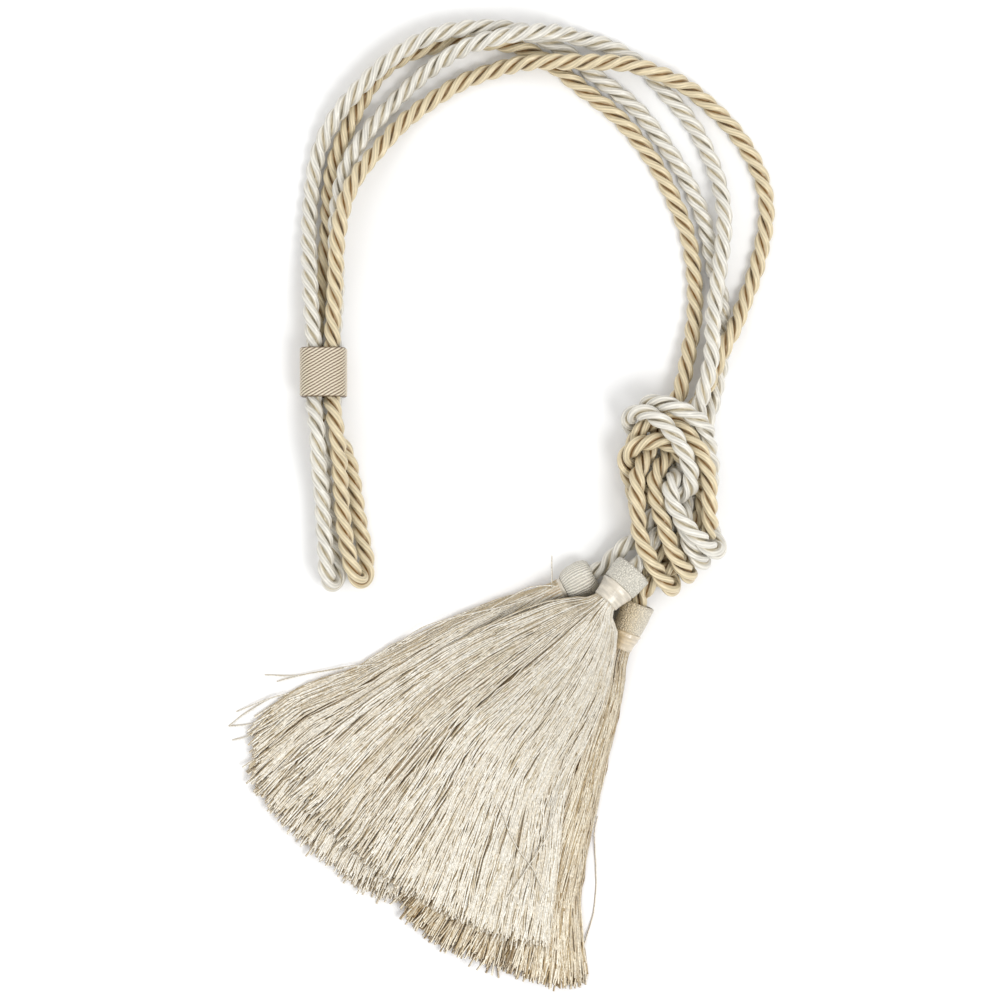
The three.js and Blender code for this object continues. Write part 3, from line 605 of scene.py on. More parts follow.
# ---------------------------------------------------------------------------
# Collar. Fine two-ply cord, many lengths side by side, wound slantwise round
# the four runs and held by its own tension. It is flat where it lies.
# ---------------------------------------------------------------------------
COLLAR_HALF = 0.0088
COLLAR_CORNER = 0.0048
COLLAR_WALL = 0.0011
WRAP_CORDS = 27
WRAP_RISE = 31
WRAP_RIDGE = 0.0005
PLY_LENGTH = 0.0016
WRAP_AROUND = 270
WRAP_ROWS = 96


def round_square(turn, half, corner):
    """Points and outward normals, evenly spaced round a square with round corners."""
    flat = half - corner
    side = 2 * flat
    arc = math.pi * corner / 2
    total = 4 * (side + arc)
    quarter, rest = np.divmod(turn * total, side + arc)
    bend = np.clip((rest - side) / arc, 0, 1) * math.pi / 2
    x = flat + corner * np.cos(bend)
    z = np.minimum(rest, side) - flat + corner * np.sin(bend)
    point = np.stack([x, z], axis=-1)
    normal = np.stack([np.cos(bend), np.sin(bend)], axis=-1)
    for k in (1, 2, 3):
        rotation = np.linalg.matrix_power(np.array([[0, 1], [-1, 0]]), k)
        point[quarter == k] = point[quarter == k] @ rotation
        normal[quarter == k] = normal[quarter == k] @ rotation
    return point, normal, total


def wound_collar():
    turn = np.arange(WRAP_AROUND) / WRAP_AROUND
    section, normal, total = round_square(turn, COLLAR_HALF - WRAP_RIDGE, COLLAR_CORNER)
    rise = math.radians(WRAP_RISE)
    y = (np.linspace(-0.5, 0.5, WRAP_ROWS) * COLLAR_LENGTH)[:, None]
    pitch = total * math.tan(rise) / WRAP_CORDS
    lead = y / pitch + turn[None] * WRAP_CORDS
    across = lead % 1
    own = np.random.default_rng(3).random(WRAP_CORDS)[np.floor(lead).astype(int) % WRAP_CORDS]
    ridge = np.sqrt(np.maximum(0, 1 - (2 * across - 1) ** 2))
    ply = 0.5 + 0.5 * np.sin(2 * math.pi * (y / math.sin(rise) / PLY_LENGTH + across * 0.8 + own))
    edge = np.clip((0.5 - np.abs(y / COLLAR_LENGTH)) * 30 + 0.2, 0, 1)
    height = 2 * WRAP_RIDGE * ridge * (0.78 + 0.22 * ply) * edge
    outer = section[None] + normal[None] * height[..., None]
    inner_y = np.linspace(0.5, -0.5, 4)[:, None] * COLLAR_LENGTH
    inner = np.broadcast_to(section - normal * COLLAR_WALL, (4, WRAP_AROUND, 2))
    across_y = np.concatenate([y, inner_y]) + 0 * turn[None]
    shape = np.concatenate([outer, inner])
    points = np.stack([shape[..., 0], across_y, shape[..., 1]], axis=-1)
    points[..., 2] = np.maximum(points[..., 2], -COLLAR_CENTRE[2])
    points = points + COLLAR_CENTRE - PART_MIDDLE
    faces = tube_faces(len(points), WRAP_AROUND).tolist()
    last = (len(points) - 1) * WRAP_AROUND
    for j in range(WRAP_AROUND):
        k = (j + 1) % WRAP_AROUND
        faces.append((last + j, last + k, k, j))
    crown = (ridge * edge * (0.7 + 0.3 * ply))[:, ::-1].ravel()
    shown = {"crown": np.concatenate([crown, np.zeros(4 * WRAP_AROUND)])}
    return new_piece("wound_collar", points[:, ::-1].reshape(-1, 3), faces, shown)


def cord_finish(name, crest, painted_shade):
    """Fine mercerised cord: soft gloss on each turn, and painted shade, warm and dark, between the turns.
    """
    material, tree, shader = new_material(name, Roughness=0.34, Specular_IOR_Level=0.8)
    # Painted shade in the grooves between the turns and the plies.
    ramp = remap(tree, read_attribute(tree, "crown"), 0.4, 0.9)
    tree.links.new(mix_colours(tree, ramp, painted_shade, crest), shader.inputs["Base Color"])
    place = add_node(tree, "ShaderNodeTexCoord").outputs["Object"]
    mottle = noise_texture(tree, place, detail=2.0, scale=900.0)
    set_relief(tree, shader, mottle, strength=0.3, distance=0.0002)
    return material


# The second colour is the painted shade between the turns.
collar_finish = cord_finish("collar_cord", linear(226, 214, 191), linear(96, 72, 40))
finish_piece(wound_collar(), collar_finish, "collar")

# ---------------------------------------------------------------------------
# Heads. A band of woven tape is sewn round each tassel's top, and a satin
# ribbon below it ties the threads at the neck. The rope goes in at the top.
# ---------------------------------------------------------------------------
NECK = 0.01685
# Outlines of a band and a ribbon: share of the length from the top, and radius in metres
BAND_OUTLINES = {
    # dome at the top, and square at the bottom
    "domed": [
        (0.16, 0.0037), (0.05, 0.0041), (0.01, 0.005), (0.03, 0.006), (0.1, 0.007), (0.22, 0.0076),
        (0.4, 0.0079), (0.6, 0.0078), (0.75, 0.0075), (0.88, 0.0068), (0.97, 0.006), (1.0, 0.0054),
        (0.96, 0.0052), (0.6, 0.006), (0.3, 0.006), (0.2, 0.005),
    ],
    # flat top with a firm edge
    "square": [
        (0.13, 0.0037), (0.03, 0.004), (0.01, 0.0055), (0.015, 0.0068), (0.04, 0.0076),
        (0.1, 0.0079), (0.3, 0.0078), (0.6, 0.0076), (0.85, 0.0074), (0.96, 0.0072), (0.995, 0.0068),
        (0.97, 0.0062), (0.6, 0.0064), (0.3, 0.0064), (0.15, 0.006), (0.13, 0.005),
    ],
    # rim standing up round a hollow, where the rope goes in
    "cupped": [
        (0.24, 0.0037), (0.2, 0.0046), (0.12, 0.0056), (0.04, 0.0064), (0.0, 0.0071), (0.02, 0.0078),
        (0.1, 0.0081), (0.22, 0.0078), (0.5, 0.0076), (0.8, 0.0072), (0.94, 0.0069), (0.99, 0.0065),
        (0.96, 0.006), (0.6, 0.0063), (0.34, 0.0062), (0.3, 0.005),
    ],
}
RIBBON_OUTLINE = [
    (-0.12, 0.0056), (-0.1, 0.0059), (-0.02, 0.0064), (0.02, 0.0070), (0.08, 0.0071), (0.2, 0.0068),
    (0.4, 0.0063), (0.6, 0.0059), (0.8, 0.0056), (0.93, 0.0055), (0.99, 0.0053), (1.0, 0.0051),
    (0.95, 0.0049), (0.6, 0.0051), (0.2, 0.0055), (0.0, 0.0056),
]
HEAD_AROUND = 120
TAPE_RIBS = 38
ABOVE_TABLE = 0.0001
# Where a band ends and its ribbon ends, from the top in metres, how slim the ribbon is, and
# how granular and how warm in colour the tape is; the warmth is partly its own beige, partly painted shade
HEAD_LOOKS = {
    "left": {"shape": "domed", "band": 0.0128, "ribbon": 0.0172, "slim": 0.74, "grain": 0.35, "warm": 0.0},
    "front": {"shape": "square", "band": 0.0094, "ribbon": 0.0174, "slim": 1.0, "grain": 1.0, "warm": 0.0},
    "hidden": {"shape": "cupped", "band": 0.0105, "ribbon": 0.0174, "slim": 1.0, "grain": 1.0, "warm": 0.6},
    "right": {"shape": "cupped", "band": 0.0123, "ribbon": 0.0195, "slim": 1.0, "grain": 1.0, "warm": 0.8},
}


def turned_piece(name, tassel, outline, start, stop, slim, relief):
    """Closed ring turned about a head's axis, with relief(angle, along) added to its outside."""
    substeps = 3
    top, along, side, up = head_frame(tassel)
    girth = HEADS[tassel]["girth"] * slim
    closed = np.array(outline + outline[:1]) * (stop - start, 1) + (start, 0)
    line = np.concatenate(
        [closed[k] + (closed[k + 1] - closed[k]) * (np.arange(substeps) / substeps)[:, None]
         for k in range(len(outline))]
    )
    line = (np.roll(line, 1, axis=0) + 2 * line + np.roll(line, -1, axis=0)) / 4
    angle = -2 * math.pi * (np.arange(HEAD_AROUND) / HEAD_AROUND + 0.25)
    s = line[:, :1] + 0 * angle[None]
    middle = line[:, 1].min() + 0.55 * (line[:, 1].max() - line[:, 1].min())
    outside = np.clip((line[:, 1:] - middle) / 0.0006, 0, 1)
    r = line[:, 1:] * girth + outside * relief(angle[None], s)
    points = (
        top
        + s[..., None] * along
        + (r * np.cos(angle))[..., None] * side
        + (r * np.sin(angle))[..., None] * up
        - PART_MIDDLE
    )
    points[..., 2] = np.maximum(points[..., 2], ABOVE_TABLE)
    rows = len(line)
    faces = tube_faces(rows, HEAD_AROUND)
    last = (rows - 1) * HEAD_AROUND
    here = np.arange(HEAD_AROUND)
    after = (here + 1) % HEAD_AROUND
    seam = np.stack([last + here, last + after, after, here], axis=-1)
    look = HEAD_LOOKS[tassel]
    # Warm tone: a share is the beige tassels' own colour, the rest is painted shade on the side turned from
    # the key lamp.
    gold = look["warm"] * (0.35 + 0.65 * np.clip(0.6 - np.cos(angle), 0, 1))
    shown = {
        "round": np.broadcast_to(angle / (-2 * math.pi) - 0.25, s.shape).ravel(),
        "far": s.ravel(),
        "warm": np.broadcast_to(gold, s.shape).ravel(),
        "grain": np.full(s.size, look["grain"]),
    }
    return new_piece(name, points.reshape(-1, 3), np.concatenate([faces, seam]).tolist(), shown)


def head_material(name, cool, warm, **looks):
    """Material whose colour goes from cool to warm by the piece's warm attribute, which holds its own beige
    tone and painted shade.
    """
    material, tree, shader = new_material(name, Sheen_Weight=0.2, **looks)
    around = read_attribute(tree, "round")
    far = read_attribute(tree, "far")
    place = add_node(tree, "ShaderNodeCombineXYZ", X=around, Y=far).outputs[0]
    base = mix_colours(tree, read_attribute(tree, "warm"), cool, warm)
    return material, tree, shader, place, base


def woven_tape():
    """Tape of looped viscose yarn: a granular crepe, or lengthwise ribs, with a soft gloss."""
    material, tree, shader, place, base = head_material(
        "woven_tape", linear(210, 205, 191), linear(217, 195, 154), Roughness=0.34,
        Specular_IOR_Level=0.8,
    )
    cells = vector_maths(tree, "MULTIPLY", place, (64.0, 1150.0, 1.0))
    crepe = add_node(tree, "ShaderNodeTexVoronoi", Vector=cells, Scale=1.0, Randomness=0.75)
    granule = remap(tree, crepe.outputs["Distance"], 0.75, 0.1)
    slack = noise_texture(tree, cells, detail=1.0, scale=0.1)
    around = add_node(tree, "ShaderNodeSeparateXYZ", _0=place).outputs[0]
    swung = maths(tree, "MULTIPLY_ADD", slack, 0.04, around)
    wave = maths(tree, "COSINE", maths(tree, "MULTIPLY", swung, 2 * math.pi * TAPE_RIBS))
    rib = remap(tree, wave, -1.0, 1.0)
    grain = read_attribute(tree, "grain")
    mix = add_node(tree, "ShaderNodeMix", {"data_type": "FLOAT"}, Factor=grain, _2=rib, _3=granule)
    height = mix.outputs[0]
    # The grain lightens and darkens the colour as well as the relief: painted shade in its hollows, painted
    # highlight on its raised loops.
    set_colour(tree, shader, base, remap(tree, height, 0.15, 0.75, 0.72, 1.16))
    set_relief(tree, shader, height, strength=0.9, distance=0.0005)
    return material


def satin_ribbon():
    """Smooth satin: a long low gloss, faint lines along the weave, and painted highlight and shade of a few
    soft folds.
    """
    material, tree, shader, place, base = head_material(
        "satin_ribbon", linear(198, 189, 172), linear(204, 179, 134), Roughness=0.32,
        Specular_IOR_Level=1.0, Coat_Weight=0.5, Coat_Roughness=0.22,
    )
    weave = vector_maths(tree, "MULTIPLY", place, (70.0, 260.0, 1.0))
    wound = vector_maths(tree, "MULTIPLY", place, (5.0, 620.0, 1.0))
    painted_folds = noise_texture(tree, wound, detail=2.0)
    # Painted highlight and shade of folds round the neck lighten and darken the colour.
    set_colour(tree, shader, base, remap(tree, painted_folds, 0.35, 0.65, 0.78, 1.16))
    set_relief(tree, shader, noise_texture(tree, weave, detail=1.5), strength=0.55, distance=0.0004)
    return material


WOVEN_TAPE = woven_tape()
SATIN_RIBBON = satin_ribbon()
for tassel, look in HEAD_LOOKS.items():
    creases = np.random.default_rng(len(tassel)).random(3)
    band = turned_piece(
        f"woven_band_{tassel}",
        tassel,
        BAND_OUTLINES[look["shape"]],
        0,
        look["band"],
        1.0,
        lambda angle, s: 0.00006 * np.cos(3 * angle + 900 * s),
    )
    finish_piece(band, WOVEN_TAPE, f"band_{tassel}")
    ribbon = turned_piece(
        f"satin_ribbon_{tassel}",
        tassel,
        RIBBON_OUTLINE,
        look["band"],
        look["ribbon"],
        look["slim"],
        lambda angle, s: 0.00016 * np.cos(2 * angle + 6 * creases[0] + 2600 * s)
        + 0.00012 * np.cos(5 * angle + 6 * creases[1] - 300 * s),
    )
    finish_piece(ribbon, SATIN_RIBBON, f"ribbon_{tassel}")

# ---------------------------------------------------------------------------
# Skirts. Thousands of loose viscose threads, each of two plies, tied at the
# neck and fanned out by hand on the table. The front skirt lies on the others.
# ---------------------------------------------------------------------------
# Each edge of a fan is its direction, in degrees from +X, at distances in metres from the
# point that the fan spreads from, which is "apex" behind the neck. Reach is from the neck, at
# the first edge, the middle and the second edge. Bottom and top are heights above the table.
ON_TABLE = {
    "bottom": [(0.006, 0.0012), (0.012, 0.0007), (0.025, 0.0004), (0.2, 0.0003)],
    "top": [(0.006, 0.0091), (0.012, 0.0084), (0.025, 0.0073), (0.042, 0.0069), (0.14, 0.006)],
}
ON_SKIRTS = {
    "bottom": [
        (0.006, 0.0142), (0.018, 0.0142), (0.025, 0.0136), (0.044, 0.01), (0.062, 0.0074), (0.14, 0.0068),
    ],
    "top": [
        (0.006, 0.0222), (0.018, 0.0215), (0.025, 0.0206), (0.044, 0.0165), (0.062, 0.0136), (0.14, 0.0122),
    ],
}
# A bundle opens into its fan over the length "opens". The first edge has the share "thin_first"
# of the full height, and its ends scatter more by "loose_first". Where "evenness" is below 1,
# the threads crowd towards the second edge.
ON_TABLE_SKIRT = {
    "heights": ON_TABLE,
    "opens": 0.02,
    "thin_first": 0.3,
    "evenness": 1.0,
    "loose_first": 0.0,
}
SKIRTS = {
    "left": {
        **ON_TABLE_SKIRT,
        "threads": 1450,
        "apex": 0.010,
        "first": [
            (0.01, 196), (0.031, 196.5), (0.057, 199.4), (0.08, 201.2), (0.096, 202.4), (0.12, 202),
            (0.15, 204.5),
        ],
        "second": [(0.01, 238), (0.12, 238.6), (0.15, 241)],
        "reach": [
            (0, 0.114), (0.04, 0.122), (0.09, 0.133), (0.18, 0.139), (0.3, 0.141), (0.5, 0.1396),
            (0.8, 0.1386), (1, 0.137),
        ],
        "clumps": 170,
    },
    "front": {
        "threads": 1500,
        "apex": 0.012,
        "first": [(0.012, 205), (0.03, 199), (0.054, 199), (0.08, 201.5), (0.11, 205), (0.15, 209)],
        "second": [
            (0.012, 261), (0.0147, 262), (0.021, 263.2), (0.031, 263.6), (0.0435, 262.4), (0.052, 260.4),
            (0.0775, 255.8), (0.092, 255.2), (0.117, 257.3), (0.15, 258.5),
        ],
        "reach": [(0, 0.138), (0.5, 0.139), (1, 0.137)],
        "heights": ON_SKIRTS,
        "clumps": 200,
        "opens": 0.011,
        "thin_first": 0.08,
        "evenness": 0.62,
        "loose_first": 0.006,
    },
    "hidden": {
        **ON_TABLE_SKIRT,
        "threads": 560,
        "apex": 0.015,
        "first": [(0.015, 239), (0.11, 238.6), (0.145, 236)],
        "second": [(0.015, 256.1), (0.15, 256.6)],
        "reach": [(0, 0.1235), (0.2, 0.1278), (0.5, 0.1298), (1, 0.1308)],
        "clumps": 70,
    },
    "right": {
        **ON_TABLE_SKIRT,
        "threads": 660,
        "apex": 0.015,
        "first": [(0.015, 250.8), (0.15, 250.2)],
        "second": [
            (0.015, 266), (0.03, 266.4), (0.046, 263.6), (0.06, 261.6), (0.078, 260.6), (0.095, 260.1),
            (0.118, 260.1), (0.13, 261.4), (0.148, 263.4),
        ],
        "reach": [(0, 0.1366), (0.5, 0.1382), (1, 0.1346)],
        "clumps": 80,
    },
}
# Threads that lie apart from their skirt, in metres from the middle of the view
STRAYS = {
    "left standing": [(0.0204, -0.0352, 0.0095), (0.0205, -0.031, 0.011), (0.0204, -0.022, 0.008)],
    "left arch": [
        (0.0225, -0.0345, 0.012), (0.0192, -0.034, 0.0135), (0.0144, -0.0344, 0.013),
        (0.0096, -0.0356, 0.0115), (0.0032, -0.0388, 0.0095), (-0.0024, -0.0424, 0.008),
        (-0.0056, -0.0448, 0.007),
    ],
    "left long": [
        (0.0128, -0.0392, 0.0095), (-0.0072, -0.0444, 0.0075), (-0.0168, -0.0464, 0.006),
        (-0.0248, -0.0488, 0.005), (-0.0304, -0.0508, 0.0045), (-0.0348, -0.0532, 0.004),
        (-0.0396, -0.0564, 0.004), (-0.0432, -0.0596, 0.0045),
    ],
    "left wisp one": [
        (-0.043, -0.0628, 0.0055), (-0.0492, -0.0652, 0.0045), (-0.0604, -0.0664, 0.003),
        (-0.07, -0.0684, 0.002), (-0.082, -0.0704, 0.0012), (-0.094, -0.07, 0.0006),
    ],
    "left wisp two": [
        (-0.062, -0.0672, 0.0035), (-0.0756, -0.0696, 0.002), (-0.082, -0.0708, 0.0012),
        (-0.0892, -0.0728, 0.0006),
    ],
    "left wisp three": [
        (-0.084, -0.0768, 0.003), (-0.0908, -0.0792, 0.002), (-0.0956, -0.0816, 0.0012),
        (-0.102, -0.0856, 0.0006), (-0.1084, -0.0908, 0.0004),
    ],
    "left wisp four": [
        (-0.086, -0.0856, 0.003), (-0.0932, -0.0872, 0.002), (-0.0996, -0.0896, 0.0012),
        (-0.1084, -0.0908, 0.0006),
    ],
    "left wisp five": [
        (-0.088, -0.078, 0.003), (-0.0996, -0.0824, 0.0015), (-0.1052, -0.0848, 0.0006),
    ],
    "left wisp six": [
        (-0.09, -0.091, 0.003), (-0.1004, -0.0944, 0.0015), (-0.1068, -0.0964, 0.0006),
    ],
    "right loop": [
        (0.039, -0.126, 0.0035), (0.0376, -0.1324, 0.002), (0.038, -0.1432, 0.0008),
        (0.0384, -0.154, 0.0004), (0.0372, -0.1652, 0.0006), (0.0348, -0.174, 0.0012),
        (0.0336, -0.178, 0.002),
    ],
    "front slant": [
        (-0.0008, -0.12, 0.0138), (0.006, -0.136, 0.0138), (0.0136, -0.1468, 0.0138),
        (0.018, -0.156, 0.0136),
    ],
    "front slant back": [
        (0.0252, -0.112, 0.014), (0.0192, -0.132, 0.0139), (0.0096, -0.1472, 0.0138),
        (0.0032, -0.157, 0.0135),
    ],
}
# Shares of a thread's length at which its line has points
STATIONS = np.array(
    [0, 0.03, 0.055, 0.08, 0.11, 0.145, 0.185, 0.23, 0.28, 0.33, 0.38, 0.435, 0.49, 0.545, 0.6, 0.655]
    + [0.71, 0.765, 0.82, 0.88, 0.94, 1.0]
)
THREAD = 0.00072
IN_RIBBON = 0.003
CRINKLE = 0.0038
CRINKLE_LENGTH = 0.011
FIRST_SEED = 11
# How far the ends of clumps and of threads scatter, and the most that a thread is cut short
CLUMP_ENDS = 0.0014
THREAD_ENDS = 0.0011
CUT_SHORT = 0.004
# Share of threads that cross others, and how far threads wander, as shares of the fan
CROSSING = 0.09
CROSSING_WANDER = 0.075
WANDER = 0.022
# Radius of the tied bundle at the neck, and the length over which it doubles
BUNDLE = 0.0049
BUNDLE_DOUBLES = 0.03
STRAY_STEP = 0.0004
STRAY_LOOK = {"tint": 0.7, "kin": 0.5, "depth": 1.0, "stout": 0.9, "loose": 0.4}


def along_table(rows, at):
    table = np.array(rows)
    return np.interp(at, table[:, 0], table[:, 1])


def smoothstep(x):
    x = np.clip(x, 0, 1)
    return x * x * (3 - 2 * x)


def thread_lines(name, seed):
    """Points of every thread's line, with what the maker and the material read at each."""
    skirt = SKIRTS[name]
    rng = np.random.default_rng(seed)
    top, along, side, up = head_frame(name)
    neck = top + along * NECK
    total, apex, clumps = skirt["threads"], skirt["apex"], skirt["clumps"]
    u = rng.random(total) ** skirt["evenness"]
    v = rng.random(total) ** 0.7
    clump = np.clip((u * clumps + rng.normal(0, 0.35, total)).astype(int), 0, clumps - 1)
    clump_u = (np.arange(clumps) + 0.5 + rng.uniform(-0.3, 0.3, clumps)) / clumps
    end = along_table(skirt["reach"], u)
    end += rng.normal(0, CLUMP_ENDS, clumps)[clump] + rng.normal(0, THREAD_ENDS, total)
    end -= CUT_SHORT * rng.random(total) ** 6
    end += skirt["loose_first"] * (1 - smoothstep(u / 0.5)) * rng.uniform(-0.6, 1.4, total)
    shares = np.tile(STATIONS, (total, 1))
    shares[:, 3:-1] += rng.uniform(-0.018, 0.018, (total, len(STATIONS) - 4))
    at = -IN_RIBBON + (end[:, None] + IN_RIBBON) * shares

    crossing = rng.random(total) < CROSSING
    target = u + rng.normal(0, 1, total) * np.where(crossing, CROSSING_WANDER, WANDER)
    target = np.clip(target, 0.01, 0.99)
    sway = rng.normal(0, 1, (clumps, 3))[clump]
    far = np.clip(at / 0.14, 0, 1)
    wave = sway[:, :1] * np.sin(math.pi * far) + sway[:, 1:2] * np.sin(2 * math.pi * far) * 0.6
    wave = wave + sway[:, 2:] * np.sin(3 * math.pi * far + 1.0) * 0.4
    own = rng.normal(0, 1, (total, 2))
    own_wave = own[:, :1] * np.sin(math.pi * far * 1.5) + own[:, 1:] * np.sin(math.pi * far * 3.3)
    across = u[:, None] + (target - u)[:, None] * smoothstep(far)
    pull = 0.5 * smoothstep(far * 5) - 0.3 * smoothstep(far * 1.4 - 0.2)
    across = across + pull * (clump_u[clump] - u)[:, None] * 0.8
    spread = along_table(skirt["second"], 0.1) - along_table(skirt["first"], 0.1)
    across = across + (0.3 * wave + 0.4 * own_wave) * smoothstep(far * 2) / spread
    across = np.clip(across, 0, 1)

    first = along_table(skirt["first"], apex + at)
    second = along_table(skirt["second"], apex + at)
    middle = math.radians(
        0.5 * (along_table(skirt["first"], apex) + along_table(skirt["second"], apex))
    )
    origin = neck - apex * np.array([math.cos(middle), math.sin(middle), 0])
    direction = np.radians(first + (second - first) * across)
    bottom = along_table(skirt["heights"]["bottom"], at)
    crest = along_table(skirt["heights"]["top"], at)
    thin = skirt["thin_first"]
    rounded = thin + (1 - thin) * smoothstep(across * (1.8 if thin < 0.2 else 8))
    rounded = rounded * (0.35 + 0.65 * smoothstep((1 - across) * 7))
    lift = np.clip(v[:, None] + 0.16 * rng.normal(0, 1, clumps)[clump][:, None], 0, 1)
    lift = np.where(crossing[:, None], 1 + 0.04 * rng.random((total, 1)), lift)
    height = bottom + (crest - bottom) * rounded * lift
    fan = np.stack(
        [
            origin[0] + (apex + at) * np.cos(direction),
            origin[1] + (apex + at) * np.sin(direction),
            height,
        ],
        axis=-1,
    )
    bundle = (BUNDLE * HEADS[name]["girth"] - THREAD / 2) * (1 + np.maximum(at, 0) / BUNDLE_DOUBLES)
    x = 2 * u - 1
    y = (2 * v - 1) * np.sqrt(1 - x**2)
    tied = neck + at[..., None] * along
    tied = tied + (bundle * x[:, None])[..., None] * side + (bundle * y[:, None])[..., None] * up
    blend = smoothstep(at / skirt["opens"])[..., None]
    points = tied + (fan - tied) * blend - PART_MIDDLE
    stout = 0.92 + 0.42 * smoothstep(shares)
    points[..., 2] = np.maximum(points[..., 2], stout * THREAD / 2)
    tint = np.repeat(rng.random(total)[:, None], len(STATIONS), axis=1)
    clump_tint = rng.random(clumps)[clump][:, None] + 0 * tint
    # Depth: how far a thread lies under the others, which the material turns into painted shade; the tips
    # are kept light.
    buried = (1 - np.clip(lift, 0, 1)) * rounded * (1 - 0.85 * smoothstep(shares * 4.5 - 3.5))
    return points, {
        "tint": 0.7 * tint + 0.3 * clump_tint,
        "kin": clump_tint,
        "depth": 1 - buried,
        "far": at,
        "stout": stout,
        "loose": np.clip(at / 0.04, 0, 1),
    }


def thread_maker():
    """Geometry nodes: lines become crinkled round threads of one material."""
    tree, inside, out = new_group(
        "thread_maker",
        "GeometryNodeTree",
        [
            ("Lines", "NodeSocketGeometry", None),
            ("Thickness", "NodeSocketFloat", None),
            ("Crinkle", "NodeSocketFloat", None),
            ("Crinkle Length", "NodeSocketFloat", None),
            ("Seed", "NodeSocketFloat", None),
            ("Material", "NodeSocketMaterial", None),
        ],
        [("Threads", "NodeSocketGeometry")],
    )
    kin, tint, loose, stout = (
        add_node(tree, "GeometryNodeInputNamedAttribute", {"data_type": "FLOAT"}, Name=name).outputs[0]
        for name in ("kin", "tint", "loose", "stout")
    )
    curves = add_node(tree, "GeometryNodeMeshToCurve", Mesh=inside.outputs["Lines"])
    place = add_node(tree, "GeometryNodeInputPosition").outputs[0]
    shared = maths(tree, "MULTIPLY_ADD", kin, 700.0, inside.outputs["Seed"])
    noise = add_node(
        tree,
        "ShaderNodeTexNoise",
        {"noise_dimensions": "4D"},
        Vector=place,
        W=maths(tree, "MULTIPLY_ADD", tint, 1.6, shared),
        Scale=maths(tree, "DIVIDE", 1.0, inside.outputs["Crinkle Length"]),
        Detail=1.0,
    )
    centred = vector_maths(tree, "SUBTRACT", noise.outputs["Color"], (0.5, 0.5, 0.5))
    level = vector_maths(tree, "MULTIPLY", centred, (1.0, 1.0, 0.3))
    amount = maths(tree, "MULTIPLY", inside.outputs["Crinkle"], loose)
    offset = vector_maths(tree, "SCALE", level, Scale=amount)
    moved = add_node(tree, "GeometryNodeSetPosition", Geometry=curves.outputs[0], Offset=offset)
    half = maths(tree, "MULTIPLY", inside.outputs["Thickness"], 0.5)
    floor = add_node(
        tree, "ShaderNodeCombineXYZ", X=-10.0, Y=-10.0, Z=maths(tree, "MULTIPLY", half, stout)
    )
    above = vector_maths(tree, "MAXIMUM", place, floor.outputs[0])
    resting = add_node(tree, "GeometryNodeSetPosition", Geometry=moved.outputs[0], Position=above)
    profile = add_node(
        tree, "GeometryNodeCurvePrimitiveCircle", {"mode": "RADIUS"}, Resolution=3, Radius=half
    )
    tubes = add_node(
        tree,
        "GeometryNodeCurveToMesh",
        Curve=resting.outputs[0],
        Profile_Curve=profile.outputs[0],
        Scale=stout,
        Fill_Caps=True,
    )
    smooth = add_node(tree, "GeometryNodeSetShadeSmooth", _0=tubes.outputs[0])
    real = add_node(tree, "GeometryNodeRealizeInstances", Geometry=smooth.outputs[0])
    dressed = add_node(
        tree, "GeometryNodeSetMaterial", Geometry=real.outputs[0], Material=inside.outputs["Material"]
    )
    tree.links.new(dressed.outputs[0], out.inputs["Threads"])
    return tree


THREAD_MAKER = thread_maker()


def make_threads(name, points, attributes, material, seed):
    """Run the thread maker on lines of points, and keep its result as a plain mesh."""
    lines, stations = points.shape[:2]
    start = (np.arange(lines)[:, None] * stations + np.arange(stations - 1)[None]).ravel()
    mesh = bpy.data.meshes.new(f"{name}_lines")
    mesh.from_pydata(points.reshape(-1, 3).tolist(), np.stack([start, start + 1], axis=1).tolist(), [])
    give_attributes(mesh, attributes)
    source = place_object(f"{name}_lines", mesh)
    modifier = source.modifiers.new("threads", "NODES")
    modifier.node_group = THREAD_MAKER
    values = {
        "Thickness": THREAD,
        "Crinkle": CRINKLE,
        "Crinkle Length": CRINKLE_LENGTH,
        "Seed": float(seed),
        "Material": material,
    }
    for item in THREAD_MAKER.interface.items_tree:
        if item.in_out == "INPUT" and item.name in values:
            modifier[item.identifier] = values[item.name]
    source.update_tag()
    graph = bpy.context.evaluated_depsgraph_get()
    result = bpy.data.meshes.new_from_object(source.evaluated_get(graph), depsgraph=graph)
    source.modifiers.remove(modifier)
    bpy.data.objects.remove(source)
    result.name = name
    return place_object(name, result)


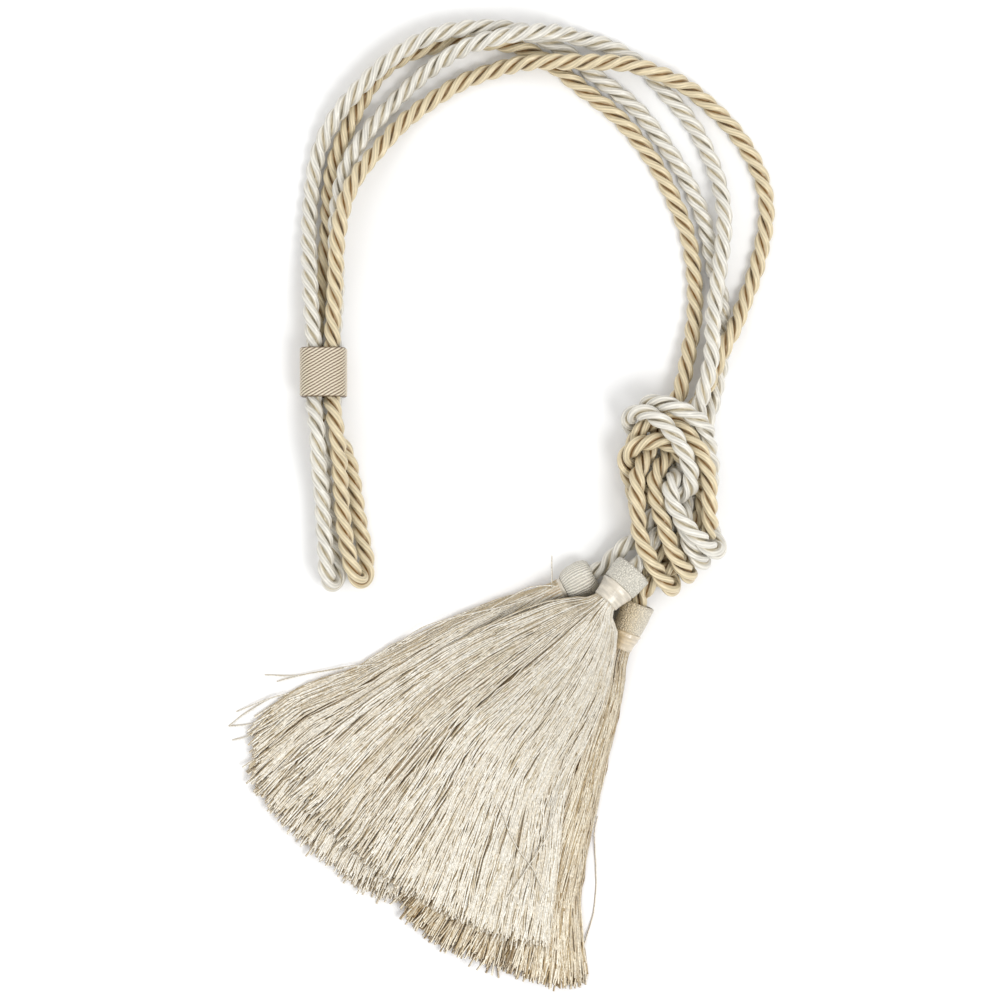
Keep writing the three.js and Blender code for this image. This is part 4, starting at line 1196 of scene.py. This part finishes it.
def thread_silk(name, pale, warm, gold, painted_shade, side_shade):
    """Viscose thread: pale on top, with painted shade that is golden at its sides and at random dips, and
    darkest under the others.
    """
    material, tree, shader = new_material(
        name, Roughness=0.36, Specular_IOR_Level=0.65, Sheen_Weight=0.3, Sheen_Roughness=0.5,
        Sheen_Tint=(1.0, 0.93, 0.8, 1.0),
    )
    tint = read_attribute(tree, "tint")
    far = read_attribute(tree, "far")
    depth = read_attribute(tree, "depth")
    strand = add_node(tree, "ShaderNodeCombineXYZ", X=far, Y=tint).outputs[0]
    # Painted shade: golden stretches at random along each thread, as if it dipped under others.
    dip_shade = noise_texture(tree, vector_maths(tree, "MULTIPLY", strand, (85.0, 411.0, 1.0)), detail=1.0)
    plies = noise_texture(tree, vector_maths(tree, "MULTIPLY", strand, (1050.0, 300.0, 1.0)), detail=1.0)
    normal = add_node(tree, "ShaderNodeTexCoord").outputs["Normal"]
    upward = add_node(tree, "ShaderNodeSeparateXYZ", _0=normal).outputs[2]
    base = mix_colours(tree, remap(tree, tint, 0.2, 0.8), warm, pale)
    golden = mix_colours(tree, remap(tree, dip_shade, 0.58, 0.7, 0.0, 0.6), base, gold)
    # Painted shade: each thread's sides, where its normal turns away from up, take the side shade colour.
    side_shaded = mix_colours(tree, remap(tree, upward, 0.15, 0.75), side_shade, golden)
    # Painted shade on threads that lie under others.
    shaded = mix_colours(tree, remap(tree, depth, 0.6, 0.96), painted_shade, side_shaded)
    # Painted glints along the twisted plies, and the colour lighter from the neck to the tips: painted
    # shade near the neck, painted light at the ends.
    glint = remap(tree, plies, 0.36, 0.64, 0.78, 1.13)
    lighter_to_tips = remap(tree, far, 0.02, 0.135, 0.91, 1.03)
    set_colour(tree, shader, shaded, maths(tree, "MULTIPLY", glint, lighter_to_tips))
    return material


# Colours of each kind of thread: pale, warm, and three colours of painted shade: gold at random dips, deep
# under the others, and on its sides
THREAD_COLOURS = {
    "ivory": [(233, 229, 218), (211, 201, 181), (176, 158, 118), (176, 144, 92), (198, 174, 128)],
    "beige": [(238, 230, 210), (168, 145, 102), (138, 106, 56), (152, 118, 66), (150, 116, 62)],
}
THREAD_SILKS = {
    colour: thread_silk(f"{colour}_threads", *(linear(*shade) for shade in shades))
    for colour, shades in THREAD_COLOURS.items()
}
TASSEL_COLOURS = {"left": "ivory", "front": "ivory", "hidden": "beige", "right": "beige"}
for seed, (tassel, colour) in enumerate(TASSEL_COLOURS.items()):
    points, shown = thread_lines(tassel, FIRST_SEED + seed)
    for name, line in STRAYS.items():
        if name.startswith(tassel):
            stray = smooth_curve(np.array(line), STRAY_STEP) - PART_MIDDLE
            share = np.linspace(0, len(stray) - 1, len(STATIONS)).astype(int)
            points = np.concatenate([points, stray[share][None]])
            shown["far"] = np.concatenate([shown["far"], share[None] * STRAY_STEP])
            for key, value in STRAY_LOOK.items():
                row = np.full((1, len(STATIONS)), value)
                shown[key] = np.concatenate([shown[key], row])
    silk = THREAD_SILKS[colour]
    skirt = make_threads(f"skirt_{tassel}", points, shown, silk, seed)
    finish_piece(skirt, silk, f"tassel_{tassel}")

# ---------------------------------------------------------------------------
# Table top and light. A plain pale table, a soft lamp at the lower right, and
# an even light from all round.
# ---------------------------------------------------------------------------
bpy.ops.mesh.primitive_plane_add(size=6.0, location=(0, 0, 0))
table_top = bpy.context.object
table_top.name = "table_top"
plain, _, _ = new_material(
    "plain_table", Base_Color=(0.9, 0.9, 0.9, 1), Roughness=0.8, Specular_IOR_Level=0.2
)
table_top.data.materials.append(plain)

LAMPS = {
    "key_lamp": {"at": (0.5, -0.4, 1.15), "size": 0.5, "watts": 8.0},
    "fill_lamp": {"at": (-0.7, 0.6, 1.1), "size": 1.4, "watts": 4.0},
}
for name, lamp in LAMPS.items():
    light = bpy.data.lights.new(name, "AREA")
    light.size = lamp["size"]
    light.energy = lamp["watts"]
    light_object = place_object(name, light)
    light_object.location = lamp["at"]
    light_object.rotation_euler = Vector(lamp["at"]).to_track_quat("Z", "Y").to_euler()

world = bpy.data.worlds.new("even_light")
bpy.context.scene.world = world
world.use_nodes = True
world.node_tree.nodes["Background"].inputs["Color"].default_value = (1, 1, 1, 1)
world.node_tree.nodes["Background"].inputs["Strength"].default_value = 0.85
bpy.context.scene.view_settings.view_transform = "Standard"
